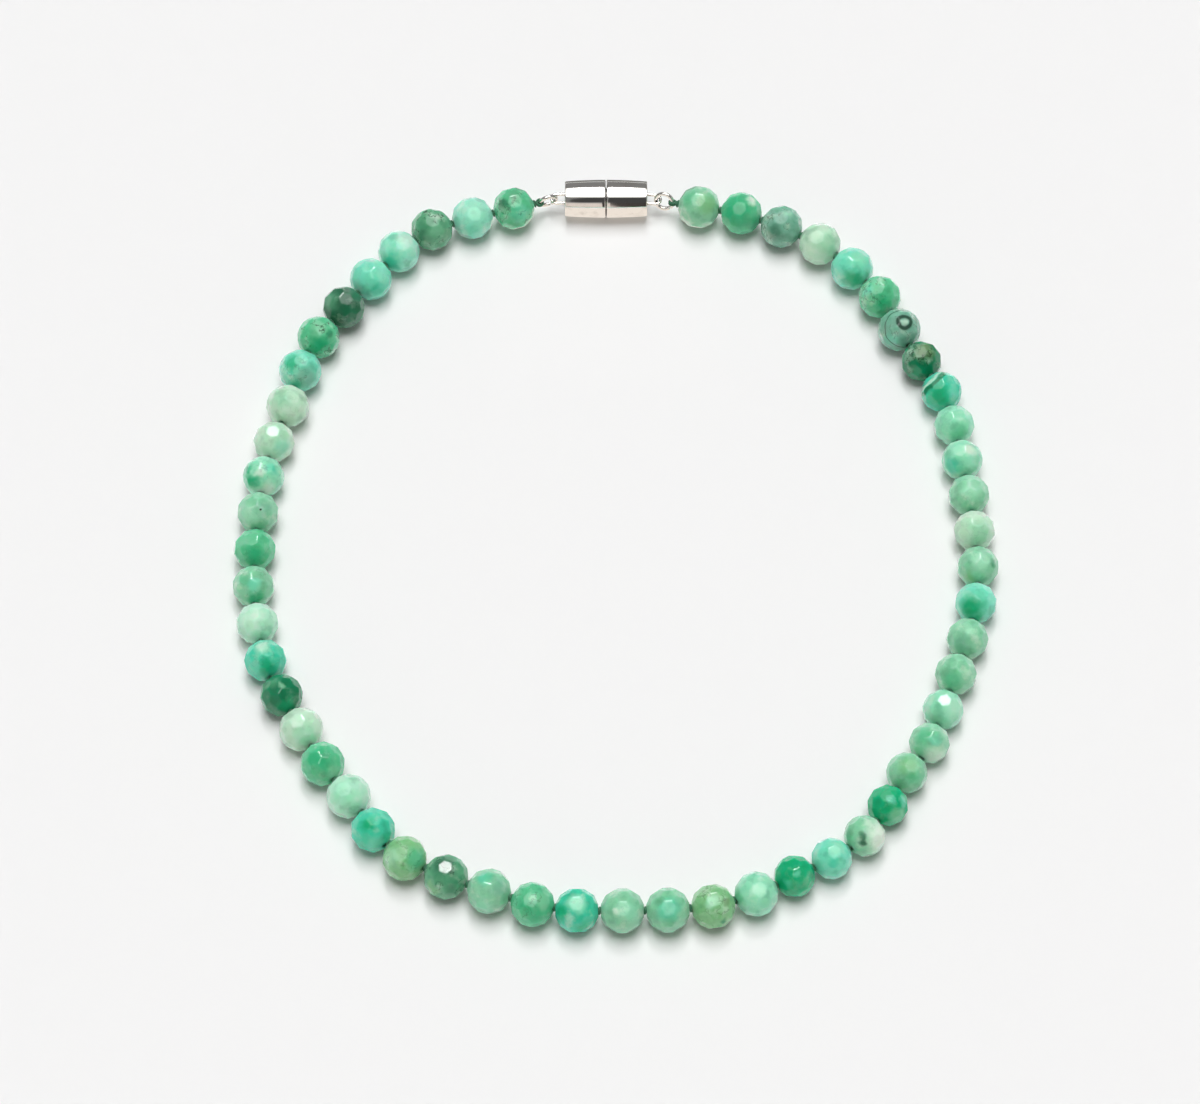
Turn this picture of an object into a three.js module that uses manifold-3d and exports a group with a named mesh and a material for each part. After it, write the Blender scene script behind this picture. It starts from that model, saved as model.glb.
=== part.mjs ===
// Necklace of faceted round stone beads on a knotted thread, fastened by a barrel clasp in two halves.
// It lies flat in one whole loop. Millimetres: X along the clasp, +Y towards the clasp, +Z up.
// The origin is on the surface that it rests on, under the middle of the loop.

import * as THREE from "three";
import { ConvexHull } from "three/addons/math/ConvexHull.js";
import { mergeVertices } from "three/addons/utils/BufferGeometryUtils.js";
import Module from "manifold-3d";

// Beads
const BEAD_DIAMETER = 8;
const BEAD_GAP = 0.36;
const FLAT_SHARE = 0.972; // distance between opposite facets, as a share of the bead's diameter
const KNOT_DIAMETER = 1.5;
const KNOT_SIDES = 6;
const HALVES_GAP = 0.1; // between the knot that ends the left string and the right string's first bead

// Each side of the loop, in stretches that start at the clasp. Diameter and gap are shares of those above.
const LEFT_STRETCHES = [
  { beads: 9, diameter: 1.01, gap: 1 },
  { beads: 8, diameter: 0.965, gap: 1.15 },
  { beads: 7, diameter: 1, gap: 0.9 },
  { beads: 3, diameter: 0.99, gap: 0.65 },
];
const RIGHT_STRETCHES = [
  { beads: 7, diameter: 1.02, gap: 1 },
  { beads: 10, diameter: 0.955, gap: 0.9 },
  { beads: 7, diameter: 0.925, gap: 0.7 },
  { beads: 3, diameter: 0.99, gap: 0.65 },
];

// Beads that lie on a facet, counted from the clasp. The others are turned about the thread, in degrees,
// by a step from one bead to the next, and stay at least the least turn away from lying on a facet.
const LEFT_FLAT_BEADS = [10, 23];
const RIGHT_FLAT_BEADS = [18];
const TURN_STEP = 14.8;
const TURN_LEAST = 6;

// Rows of facets between the girdle, at latitude 0, and the drill hole, at 90. Turn is in facets of the row,
// counted round from straight down.
const GIRDLE_FACETS = 10;
const FACET_ROWS = [
  { latitude: 31, facets: 10, turn: 0.5 },
  { latitude: 61, facets: 6, turn: 0.2 },
  { latitude: 90, facets: 1, turn: 0 },
];

// Barrel clasp, a left and a right half that meet at its seam
const CLASP_LENGTH = 16.2;
const CLASP_SEAM_DIAMETER = 7.45;
const CLASP_END_DIAMETER = 6.85;
const CLASP_SEAM_GAP = 0.2;
const CLASP_EDGE = 0.2;
const CLASP_SIDES = 28;
const BARREL_ROWS = 5;
const SPIGOT_DIAMETER = 4;
const SPIGOT_LENGTH = 1.6;
const SPIGOT_CLEARANCE = 0.2;

// Wire eyes on the clasp's ends. An eye's turn leans it towards its string, in degrees.
const EYE_LENGTH = 3;
const EYE_WIDTH = 2.8;
const EYE_WIRE = 0.65;
const EYE_SEGMENTS = 14;
const EYE_BEND_POINTS = 7;
const EYE_ROOT = 0.6; // how far its legs go into the barrel
const LEFT_EYE_TURN = 2;
const RIGHT_EYE_TURN = 10;

// Split jump rings, one between each eye and its string
const RING_DIAMETER = 4.2;
const RING_WIRE = 0.8;
const RING_CLEARANCE = 0.2; // between a ring's wire and the eye that it pulls on
const RING_SEGMENTS = 16;
const WIRE_SIDES = 6;
// Roll is 90 for an upright ring. The split's place is measured from the string's end of the ring.
const LEFT_RING = { roll: 101.5, splitAt: -115, split: 8, offset: 0 };
const RIGHT_RING = { roll: 67.5, splitAt: -42, split: 14, offset: 0.35 };

// Loop of thread that ties each string to its ring
const LOOP_THREAD = 0.5;
const LOOP_CLEARANCE = 0.2;
const LOOP_STEM = 0.15;
const LOOP_STEM_DIAMETER = 1;
const LOOP_SEGMENTS = 12;

// Route of the loop, anticlockwise from the clasp's seam by way of the clasp's left end, as points on the
// surface. It is brought to the length of what is on it.
const ROUTE = [
  [-1.6, 79.1],
  [-9.7, 79.1],
  [-20.0, 76.4],
  [-35.8, 71.4],
  [-42.5, 65.7],
  [-57.5, 45.3],
  [-62.8, 29.1],
  [-66.7, 13.2],
  [-67.5, -10.7],
  [-64.3, -27.7],
  [-61.2, -34.2],
  [-53.6, -47.9],
  [-47.9, -55.6],
  [-38.0, -67.6],
  [-14.6, -77.0],
  [-6.4, -78.1],
  [17.8, -77.2],
  [32.7, -70.8],
  [45.0, -62.9],
  [53.5, -49.3],
  [57.5, -43.6],
  [65.4, -21.5],
  [68.0, -6.1],
  [66.1, 17.4],
  [62.9, 32.9],
  [55.5, 46.8],
  [51.3, 55.7],
  [40.4, 67.8],
  [24.7, 75.4],
  [16.6, 76.8],
  [6.5, 79.1],
];
const ROUTE_STEPS = 4000;

// Corners closer than this are one: those that are welded, and those of the bead of radius 1.
const WELD_DISTANCE = 1e-4;
const UNIT_TOLERANCE = 1e-5;

// Colours
const STONE = { color: 0x82b79a, roughness: 0.25, metalness: 0 };
const SILVER = { color: 0xe4e2df, roughness: 0.12, metalness: 1 };

const wasm = await Module();
wasm.setup();

const radians = THREE.MathUtils.degToRad;
const UP = new THREE.Vector3(0, 0, 1);

function solidOf(geometry) {
  const bare = geometry.clone().deleteAttribute("normal").deleteAttribute("uv");
  const merged = mergeVertices(bare, WELD_DISTANCE);
  const vertProperties = Float32Array.from(merged.attributes.position.array);
  const triVerts = Uint32Array.from(merged.index.array);
  return new wasm.Manifold(new wasm.Mesh({ numProp: 3, vertProperties, triVerts }));
}

function joined(name, geometries, finish) {
  const whole = geometries.map(solidOf).reduce((sum, solid) => sum.add(solid));
  const { vertProperties, triVerts } = whole.getMesh();
  const geometry = new THREE.BufferGeometry();
  geometry.setAttribute("position", new THREE.BufferAttribute(vertProperties, 3));
  geometry.setIndex(new THREE.BufferAttribute(triVerts, 1));
  geometry.computeVertexNormals();
  const material = new THREE.MeshStandardMaterial({ ...finish, flatShading: true });
  const mesh = new THREE.Mesh(geometry, material);
  mesh.name = name;
  return mesh;
}

// A basis whose X is along, whose Z is as near up as it can be, at a place.
function frameAt(place, along) {
  const x = along.clone().normalize();
  const y = UP.clone().cross(x).normalize();
  return new THREE.Matrix4().makeBasis(x, y, x.clone().cross(y)).setPosition(place);
}

// Facet directions on a unit bead whose drill hole runs along X.
function facetDirections() {
  const girdle = { latitude: 0, facets: GIRDLE_FACETS, turn: 0 };
  const mirrored = FACET_ROWS.map((row) => ({ ...row, latitude: -row.latitude }));
  return [girdle, ...FACET_ROWS, ...mirrored].flatMap(({ latitude, facets, turn }) =>
    Array.from({ length: facets }, (_, i) => {
      const around = (2 * Math.PI * (i + turn)) / facets;
      const off = Math.cos(radians(latitude));
      return new THREE.Vector3(
        Math.sin(radians(latitude)),
        off * Math.sin(around),
        -off * Math.cos(around),
      );
    }),
  );
}

// The solid bounded by one plane across each direction, all 1 from the centre. Its corners are the dual
// of the hull of the directions.
function facetedSolid(directions) {
  const corners = [];
  for (const { normal, constant } of new ConvexHull().setFromPoints(directions).faces) {
    const corner = normal.clone().divideScalar(constant);
    if (!corners.some((other) => other.distanceTo(corner) < UNIT_TOLERANCE)) corners.push(corner);
  }
  const index = [];
  for (const facing of directions) {
    const across = new THREE.Vector3(facing.z, facing.x, facing.y).cross(facing).normalize();
    const rising = facing.clone().cross(across);
    const angle = (i) => Math.atan2(corners[i].dot(rising), corners[i].dot(across));
    const onFacet = (i) => Math.abs(corners[i].dot(facing) - 1) < UNIT_TOLERANCE;
    const rim = [...corners.keys()].filter(onFacet);
    rim.sort((a, b) => angle(a) - angle(b));
    for (let i = 2; i < rim.length; i++) index.push(rim[0], rim[i - 1], rim[i]);
  }
  const geometry = new THREE.BufferGeometry().setFromPoints(corners);
  return geometry.setIndex(index);
}

const unitBead = facetedSolid(facetDirections());

function beadGeometry({ place, along, diameter, turn }) {
  const size = (FLAT_SHARE * diameter) / 2;
  return unitBead
    .clone()
    .scale(size, size, size)
    .rotateX(radians(turn))
    .applyMatrix4(frameAt(place, along));
}

// The height at which a bead turned like this touches the surface.
function restingHeight(bead) {
  const lifted = beadGeometry({ ...bead, place: new THREE.Vector3() });
  lifted.computeBoundingBox();
  return -lifted.boundingBox.min.z;
}

function cylinderBetween(start, end, diameter, sides) {
  const length = start.distanceTo(end);
  const geometry = new THREE.CylinderGeometry(diameter / 2, diameter / 2, length, sides);
  const middle = start.clone().add(end).divideScalar(2);
  return geometry.rotateZ(-Math.PI / 2).applyMatrix4(frameAt(middle, end.clone().sub(start)));
}

// A round wire along a path, its ends closed.
function wireGeometry(points, diameter, sides, steps) {
  const corners = Array.from({ length: sides }, (_, i) => {
    const angle = (2 * Math.PI * i) / sides;
    return new THREE.Vector2(Math.cos(angle), Math.sin(angle)).multiplyScalar(diameter / 2);
  });
  return new THREE.ExtrudeGeometry(new THREE.Shape(corners), {
    extrudePath: new THREE.CatmullRomCurve3(points, false, "centripetal"),
    steps,
  });
}

// How far each bead's centre is from the clasp's seam, measured along the thread.
function beadsAlong(stretches, flatBeads, start) {
  const beads = stretches.flatMap(({ beads: count, diameter, gap }) =>
    Array.from({ length: count }, () => ({
      diameter: diameter * BEAD_DIAMETER,
      gap: gap * BEAD_GAP,
    })),
  );
  const turnRange = 360 / GIRDLE_FACETS - 2 * TURN_LEAST;
  let from = start;
  beads.forEach((bead, i) => {
    bead.at = from + bead.diameter / 2;
    const next = beads[i + 1] ?? bead;
    from += bead.diameter + (bead.gap + next.gap) / 2;
    bead.turn = flatBeads.includes(i + 1) ? 0 : TURN_LEAST + ((TURN_STEP * (i + 1)) % turnRange);
  });
  return { beads, end: from - beads.at(-1).gap / 2 };
}

// Sizes that follow from those above. The link run is the way from a half's end to its string's first bead.
const ringMean = (RING_DIAMETER - RING_WIRE) / 2;
const loopMean = RING_WIRE / 2 + LOOP_CLEARANCE + LOOP_THREAD / 2;
const hookReach = EYE_LENGTH - EYE_WIRE - RING_CLEARANCE - RING_WIRE / 2;
const linkRun = hookReach + 2 * ringMean + loopMean + LOOP_THREAD / 2 + LOOP_STEM;
const claspAxis = CLASP_SEAM_DIAMETER / 2;

const firstBead = CLASP_LENGTH / 2 + linkRun;
const left = beadsAlong(LEFT_STRETCHES, LEFT_FLAT_BEADS, firstBead);
const right = beadsAlong(RIGHT_STRETCHES, RIGHT_FLAT_BEADS, firstBead);
const loopLength = left.end + right.end;

function routeOf(scale) {
  const points = ROUTE.map(([x, y]) => new THREE.Vector3(x, y, 0).multiplyScalar(scale));
  const curve = new THREE.CatmullRomCurve3(points, true, "catmullrom", 0.5);
  curve.arcLengthDivisions = ROUTE_STEPS;
  return curve;
}

const route = routeOf(loopLength / routeOf(1).getLength());

// Side is 1 on the left, which the route goes down, and -1 on the right, which it comes up.
function settled(bead, side) {
  const share = THREE.MathUtils.euclideanModulo((side * bead.at) / loopLength, 1);
  const along = route.getTangentAt(share);
  const place = route.getPointAt(share);
  place.z = restingHeight({ ...bead, along });
  return { ...bead, along, place };
}

const seam = route.getPointAt(0).setZ(claspAxis);
const claspTurn = Math.atan2(-route.getTangentAt(0).y, -route.getTangentAt(0).x);

// The clasp, in a frame of its own: the seam at the origin, the right half along +X
function barrelProfile(inner) {
  const half = CLASP_LENGTH / 2;
  const face = CLASP_SEAM_GAP / 2;
  const radiusAt = (x) =>
    (CLASP_SEAM_DIAMETER - (CLASP_SEAM_DIAMETER - CLASP_END_DIAMETER) * (x / half) ** 2) / 2;
  const side = Array.from({ length: BARREL_ROWS }, (_, i) => {
    const x = face + CLASP_EDGE + ((half - face - 2 * CLASP_EDGE) * i) / (BARREL_ROWS - 1);
    return [radiusAt(x), x];
  });
  return [
    ...inner,
    [radiusAt(face) - CLASP_EDGE, face],
    ...side,
    [radiusAt(half) - CLASP_EDGE, half],
    [0, half],
  ].map(([r, x]) => new THREE.Vector2(r, x));
}

function barrelGeometry(inner) {
  return new THREE.LatheGeometry(barrelProfile(inner), CLASP_SIDES).rotateZ(-Math.PI / 2);
}

// The U of wire at the end of a half that points along +X, turned about the end of the barrel.
function eyeGeometry(turn) {
  const mean = (EYE_WIDTH - EYE_WIRE) / 2;
  const bendAt = EYE_LENGTH - EYE_WIRE / 2 - mean;
  const bend = Array.from({ length: EYE_BEND_POINTS }, (_, i) => {
    const angle = Math.PI * (i / (EYE_BEND_POINTS - 1) - 0.5);
    return new THREE.Vector3(bendAt + mean * Math.cos(angle), mean * Math.sin(angle), 0);
  });
  const leg = (side) => new THREE.Vector3(-EYE_ROOT, side * mean, 0);
  const geometry = wireGeometry([leg(-1), ...bend, leg(1)], EYE_WIRE, WIRE_SIDES, EYE_SEGMENTS);
  return geometry.rotateZ(radians(turn)).translate(CLASP_LENGTH / 2, 0, 0);
}

function claspHalves() {
  const face = CLASP_SEAM_GAP / 2;
  const socketDepth = SPIGOT_LENGTH + SPIGOT_CLEARANCE - CLASP_SEAM_GAP;
  const socketRadius = SPIGOT_DIAMETER / 2 + SPIGOT_CLEARANCE;
  const spigot = [
    [0, face - SPIGOT_LENGTH],
    [SPIGOT_DIAMETER / 2, face - SPIGOT_LENGTH],
    [SPIGOT_DIAMETER / 2, face],
  ];
  const socket = [
    [0, face + socketDepth],
    [socketRadius, face + socketDepth],
    [socketRadius, face],
  ];
  const leftHalf = [barrelGeometry(spigot), eyeGeometry(LEFT_EYE_TURN)];
  leftHalf.forEach((geometry) => geometry.rotateZ(Math.PI));
  const rightHalf = [barrelGeometry(socket), eyeGeometry(-RIGHT_EYE_TURN)];
  const clasp = new THREE.Group();
  clasp.add(joined("clasp_half_left", leftHalf, SILVER), joined("clasp_half_right", rightHalf, SILVER));
  clasp.position.copy(seam);
  clasp.rotation.z = claspTurn;
  return clasp;
}

// Where a ring's wire lies in an eye. Side is as in settled, and turn is the eye's.
function hookAt(side, turn) {
  const reach = new THREE.Vector3(-side * hookReach, 0, 0).applyAxisAngle(UP, radians(side * turn));
  reach.x -= (side * CLASP_LENGTH) / 2;
  return reach.applyAxisAngle(UP, claspTurn).add(seam);
}

// A split ring whose wire lies at hook and at the string's end of the line towards bead.
function ringMesh(name, hook, towards, { roll, splitAt, split, offset }) {
  const points = Array.from({ length: RING_SEGMENTS + 1 }, (_, i) => {
    const share = i / RING_SEGMENTS;
    const angle = radians(splitAt + split / 2 + (360 - split) * share);
    return new THREE.Vector3(
      ringMean * Math.cos(angle),
      offset * (share - 0.5),
      ringMean * Math.sin(angle),
    );
  });
  const ring = joined(name, [wireGeometry(points, RING_WIRE, WIRE_SIDES, RING_SEGMENTS)], SILVER);
  const lean = new THREE.Matrix4().makeRotationX(radians(roll - 90) * Math.sign(towards.x));
  ring.applyMatrix4(frameAt(hook, towards).multiply(lean).setPosition(hook));
  ring.position.addScaledVector(towards, ringMean);
  return ring;
}

// A string's pieces: its beads, the knots between them and the loop round the ring.
function stringGeometries(beads, hook, roll) {
  const towards = beads[0].place.clone().sub(hook).normalize();
  const ringEnd = hook.clone().addScaledVector(towards, 2 * ringMean);
  const lean = new THREE.Matrix4().makeRotationX(radians(roll - 90) * Math.sign(towards.x));
  const loop = new THREE.TorusGeometry(loopMean, LOOP_THREAD / 2, WIRE_SIDES, LOOP_SEGMENTS);
  loop.applyMatrix4(frameAt(ringEnd, towards).multiply(lean).setPosition(ringEnd));
  const stemStart = ringEnd.clone().addScaledVector(towards, loopMean);
  const stem = cylinderBetween(stemStart, beads[0].place, LOOP_STEM_DIAMETER, KNOT_SIDES);
  const knots = beads
    .slice(1)
    .map((bead, i) => cylinderBetween(beads[i].place, bead.place, KNOT_DIAMETER, KNOT_SIDES));
  return [loop, stem, ...knots, ...beads.map(beadGeometry)];
}

const leftBeads = left.beads.map((bead) => settled(bead, 1));
const rightBeads = right.beads.map((bead) => settled(bead, -1));
const leftHook = hookAt(1, LEFT_EYE_TURN);
const rightHook = hookAt(-1, RIGHT_EYE_TURN);

// The knot between the strings belongs to the left one, and stops short of the right one's last bead.
function closingKnot() {
  const last = leftBeads.at(-1);
  const next = rightBeads.at(-1);
  const line = next.place.clone().sub(last.place);
  const reach = line.length() - (FLAT_SHARE * next.diameter) / 2 - HALVES_GAP;
  const end = last.place.clone().addScaledVector(line.normalize(), reach);
  return cylinderBetween(last.place, end, KNOT_DIAMETER, KNOT_SIDES);
}

const necklace = new THREE.Group();
necklace.add(
  joined(
    "bead_string_left",
    [...stringGeometries(leftBeads, leftHook, LEFT_RING.roll), closingKnot()],
    STONE,
  ),
  joined("bead_string_right", stringGeometries(rightBeads, rightHook, RIGHT_RING.roll), STONE),
  claspHalves(),
  ringMesh(
    "jump_ring_left",
    leftHook,
    leftBeads[0].place.clone().sub(leftHook).normalize(),
    LEFT_RING,
  ),
  ringMesh(
    "jump_ring_right",
    rightHook,
    rightBeads[0].place.clone().sub(rightHook).normalize(),
    RIGHT_RING,
  ),
);

necklace.updateMatrixWorld(true);
const middle = new THREE.Box3().setFromObject(necklace, true).getCenter(new THREE.Vector3());
necklace.position.set(-middle.x, -middle.y, 0);

export default necklace;
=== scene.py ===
"""Looks of a fastened necklace of faceted green stone beads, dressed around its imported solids.

Lengths are in metres: X runs along the clasp, +Y towards the clasp, and +Z up from the surface.
"""

from __future__ import annotations

import logging
import math
from bisect import bisect_right
from contextlib import contextmanager
from dataclasses import dataclass, field
from enum import Enum
from typing import Iterator, Sequence, Union

import bpy
from mathutils import Matrix, Vector


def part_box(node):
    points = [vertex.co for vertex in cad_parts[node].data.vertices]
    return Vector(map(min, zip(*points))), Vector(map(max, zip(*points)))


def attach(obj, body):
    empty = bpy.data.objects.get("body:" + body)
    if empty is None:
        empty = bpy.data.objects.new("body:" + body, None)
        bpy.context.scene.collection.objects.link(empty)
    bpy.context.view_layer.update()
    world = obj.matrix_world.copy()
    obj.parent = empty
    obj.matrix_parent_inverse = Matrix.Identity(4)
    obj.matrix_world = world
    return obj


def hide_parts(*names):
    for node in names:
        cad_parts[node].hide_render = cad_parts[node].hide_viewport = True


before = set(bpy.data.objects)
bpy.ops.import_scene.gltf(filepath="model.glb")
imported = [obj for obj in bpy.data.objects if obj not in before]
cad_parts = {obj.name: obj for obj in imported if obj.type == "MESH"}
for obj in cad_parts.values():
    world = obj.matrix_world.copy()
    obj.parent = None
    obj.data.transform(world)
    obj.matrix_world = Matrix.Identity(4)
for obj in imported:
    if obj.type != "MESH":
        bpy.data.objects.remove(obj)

MM = 0.001
UP = Vector((0, 0, 1))
FACING_X = (0.0, math.pi / 2, 0.0)
WHITE = (1.0, 1.0, 1.0, 1.0)
DOUBLES = 0.0005 * MM
SMOOTH_ANGLE = math.radians(35)
FRAME_BODY = "root"
LOG = logging.getLogger("necklace")


class Side(Enum):
    """The two sides of the loop, by the way that their beads are counted from the clasp."""

    LEFT = 1
    RIGHT = -1

    @property
    def word(self) -> str:
        """The side's name as the nodes have it."""
        return self.name.lower()


class Tone(Enum):
    """Colours found in the stones in daylight, in shares of full red, green and blue."""

    CHALK = (0.86, 0.93, 0.86)
    PALE_SAGE = (0.75, 0.89, 0.78)
    PALE_MINT = (0.70, 0.91, 0.79)
    PALE_AQUA = (0.59, 0.90, 0.79)
    MINT = (0.58, 0.87, 0.73)
    AQUA = (0.47, 0.86, 0.74)
    TURQUOISE = (0.26, 0.79, 0.65)
    SAGE = (0.54, 0.80, 0.65)
    GREY_SAGE = (0.47, 0.69, 0.60)
    MOSS = (0.51, 0.75, 0.53)
    FERN = (0.37, 0.64, 0.49)
    OLIVE = (0.42, 0.56, 0.38)
    LEAF = (0.37, 0.76, 0.57)
    EMERALD = (0.02, 0.67, 0.46)
    DEEP = (0.03, 0.48, 0.32)
    DARK = (0.19, 0.42, 0.31)
    INK = (0.05, 0.20, 0.13)

    @property
    def linear(self) -> tuple[float, float, float, float]:
        """The tone as scene-linear red, green, blue and alpha."""
        return linear(self.value)


def linear(display: Sequence[float]) -> tuple[float, float, float, float]:
    """Turns a display colour into a scene-linear one.

    Args:
        display: Red, green and blue from 0 to 1, as a screen shows them.

    Returns:
        Scene-linear red, green, blue and an alpha of 1.
    """
    # The usual curve of a display: straight near black, and then a power.
    red, green, blue = (
        c / 12.92 if c <= 0.04045 else ((c + 0.055) / 1.055) ** 2.4 for c in display
    )
    return red, green, blue, 1.0


def deselect_all() -> None:
    """Leaves nothing selected, so that the next operator acts on its own piece alone."""
    bpy.ops.object.select_all(action="DESELECT")


def pick(piece: bpy.types.Object) -> None:
    """Selects one piece alone and makes it the active one.

    Args:
        piece: The piece.
    """
    deselect_all()
    piece.select_set(True)
    bpy.context.view_layer.objects.active = piece


@contextmanager
def editing(piece: bpy.types.Object) -> Iterator[None]:
    """Edit mode on one piece, with all of its mesh selected at first.

    Args:
        piece: A mesh piece.

    Returns:
        A context that leaves edit mode at its end.
    """
    pick(piece)
    bpy.ops.object.mode_set(mode="EDIT")
    bpy.ops.mesh.select_all(action="SELECT")
    yield
    bpy.ops.object.mode_set(mode="OBJECT")


def named(name: str) -> bpy.types.Object:
    """Gives the active piece its name.

    Args:
        name: The piece's name.

    Returns:
        The active piece.
    """
    piece = bpy.context.active_object
    piece.name = name
    piece.data.name = name
    return piece


def round_blank(
    name: str,
    sides: int,
    radius: float,
    place: Sequence[float],
    turn: Sequence[float] = (0.0, 0.0, 0.0),
) -> bpy.types.Object:
    """Starts a piece as one flat round face.

    Args:
        name: The piece's name.
        sides: How many sides the face has.
        radius: Its radius.
        place: Its middle.
        turn: Its turns about X, Y and Z.

    Returns:
        The piece.
    """
    deselect_all()
    bpy.ops.mesh.primitive_circle_add(
        vertices=sides, radius=radius, fill_type="NGON", location=place, rotation=turn
    )
    return named(name)


def settle(piece: bpy.types.Object) -> bpy.types.Object:
    """Moves a piece's place, turn and scale into its mesh, so that its object sits at the origin.

    Args:
        piece: A mesh piece without a parent.

    Returns:
        The same piece.
    """
    pick(piece)
    bpy.ops.object.transform_apply(location=True, rotation=True, scale=True)
    return piece


def copied(master: bpy.types.Object, name: str, place: Matrix) -> bpy.types.Object:
    """Copies a finished master, with a mesh of its own, to a place.

    Args:
        master: The piece to copy.
        name: The copy's name.
        place: Where the copy goes, with its turn and scale.

    Returns:
        The copy, with its place in its mesh.
    """
    pick(master)
    bpy.ops.object.duplicate()
    piece = named(name)
    piece.matrix_world = place
    return settle(piece)


def welded(pieces: Sequence[bpy.types.Object], name: str) -> bpy.types.Object:
    """Joins pieces into one.

    Args:
        pieces: The pieces, of which the first keeps its object.
        name: The joined piece's name.

    Returns:
        The joined piece.
    """
    pick(pieces[0])
    for piece in pieces[1:]:
        piece.select_set(True)
    bpy.ops.object.join()
    return named(name)


def cleaned(piece: bpy.types.Object) -> bpy.types.Object:
    """Merges a piece's doubles and points its faces outwards.

    Args:
        piece: A closed mesh piece.

    Returns:
        The same piece.
    """
    with editing(piece):
        bpy.ops.mesh.remove_doubles(threshold=DOUBLES)
        bpy.ops.mesh.normals_make_consistent(inside=False)
    return piece


def cut_by(piece: bpy.types.Object, tool: bpy.types.Object, operation: str) -> None:
    """Applies a boolean with a tool, and throws the tool away.

    Args:
        piece: The piece that is changed.
        tool: The closed solid that cuts or joins it.
        operation: DIFFERENCE or UNION.
    """
    pick(piece)
    boolean = piece.modifiers.new("cut", "BOOLEAN")
    boolean.operation = operation
    boolean.solver = "EXACT"
    boolean.object = tool
    bpy.ops.object.modifier_apply(modifier=boolean.name)
    bpy.data.objects.remove(tool)


def frame_at(place: Vector, along: Vector) -> Matrix:
    """A frame whose X is along, and whose Z is as near to up as it can be.

    Args:
        place: Its origin.
        along: The direction of its X.

    Returns:
        The frame as a matrix.
    """
    x = along.normalized()
    y = UP.cross(x).normalized()
    turned = Matrix((x, y, x.cross(y))).transposed()
    return Matrix.Translation(place) @ turned.to_4x4()


def turn_x(degrees: float) -> Matrix:
    """A turn about X, in degrees."""
    return Matrix.Rotation(math.radians(degrees), 4, "X")


class Socket:
    """A node's output, whose maths is written as Python expressions."""

    def __init__(self, graph: Graph, output: bpy.types.NodeSocket) -> None:
        """Keeps the graph that the output is in."""
        self.graph = graph
        self.output = output

    def _maths(self, operation: str, first: Value, second: Value) -> Socket:
        """Adds one Math node."""
        return self.graph.add("ShaderNodeMath", {"operation": operation}, {0: first, 1: second})

    def __add__(self, other: Value) -> Socket:
        """Self plus other."""
        return self._maths("ADD", self, other)

    __radd__ = __add__

    def __sub__(self, other: Value) -> Socket:
        """Self minus other."""
        return self._maths("SUBTRACT", self, other)

    def __rsub__(self, other: Value) -> Socket:
        """Other minus self."""
        return self._maths("SUBTRACT", other, self)

    def __mul__(self, other: Value) -> Socket:
        """Self times other."""
        return self._maths("MULTIPLY", self, other)

    __rmul__ = __mul__

    def __abs__(self) -> Socket:
        """Self without its sign."""
        return self._maths("ABSOLUTE", self, 0.0)

    def step(self, low: float, high: float) -> Socket:
        """A smooth step.

        Args:
            low: Where the step is 0.
            high: Where it is 1, which may be below low.

        Returns:
            The step, from 0 to 1.
        """
        settings = {"interpolation_type": "SMOOTHSTEP"}
        return self.graph.add("ShaderNodeMapRange", settings, {0: self, 1: low, 2: high})


Value = Union[Socket, float, Sequence[float]]


class Graph:
    """A node tree that is filled by one method."""

    def __init__(self, tree: bpy.types.NodeTree) -> None:
        """Empties the tree."""
        self.tree = tree
        tree.nodes.clear()

    def add(self, kind: str, settings: dict, sockets: dict, output: int | str = 0) -> Socket:
        """Adds a node.

        Args:
            kind: The node's type.
            settings: Its properties, set first.
            sockets: The value or link of each input, by its name or number.
            output: Which output is given back.

        Returns:
            The output as a socket, or the first input of a node that has no output.
        """
        node = self.tree.nodes.new(kind)
        for key, setting in settings.items():
            setattr(node, key, setting)
        for key, value in sockets.items():
            if isinstance(value, Socket):
                self.tree.links.new(value.output, node.inputs[key])
            else:
                node.inputs[key].default_value = value
        ends = node.outputs if len(node.outputs) else node.inputs
        return Socket(self, ends[output])

    def object_place(self) -> Socket:
        """The place on the piece, in metres."""
        return self.add("ShaderNodeTexCoord", {}, {}, "Object")

    def noise(self, place: Socket, grain: float, detail: float, output: int = 0) -> Socket:
        """Noise in space.

        Args:
            place: Where it is read.
            grain: The size of its patches, in metres.
            detail: How many finer layers it has.
            output: 0 for the value, 1 for the colour.

        Returns:
            The noise, about 0.5 on average.
        """
        sockets = {"Vector": place, "Scale": 1 / grain, "Detail": detail}
        return self.add("ShaderNodeTexNoise", {}, sockets, output)

    def vector(self, operation: str, first: Value, second: Value, output: int = 0) -> Socket:
        """One Vector Math node on two vectors."""
        settings = {"operation": operation}
        return self.add("ShaderNodeVectorMath", settings, {0: first, 1: second}, output)

    def relief(self, height: Socket, strength: float, depth: float) -> Socket:
        """A bumped normal.

        Args:
            height: The height, from 0 to 1.
            strength: How much of the bump shows.
            depth: How deep it is, in metres.

        Returns:
            The normal.
        """
        sockets = {"Strength": strength, "Distance": depth, "Height": height}
        return self.add("ShaderNodeBump", {}, sockets)

    def blend(self, share: Value, first: Value, second: Value) -> Socket:
        """A mix of two colours.

        Args:
            share: How much of the second there is.
            first: The first colour.
            second: The second colour.

        Returns:
            The mixed colour.
        """
        # Its colour sockets share their names with others, so they go by number.
        settings = {"data_type": "RGBA"}
        return self.add("ShaderNodeMix", settings, {0: share, 6: first, 7: second}, 2)


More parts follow.
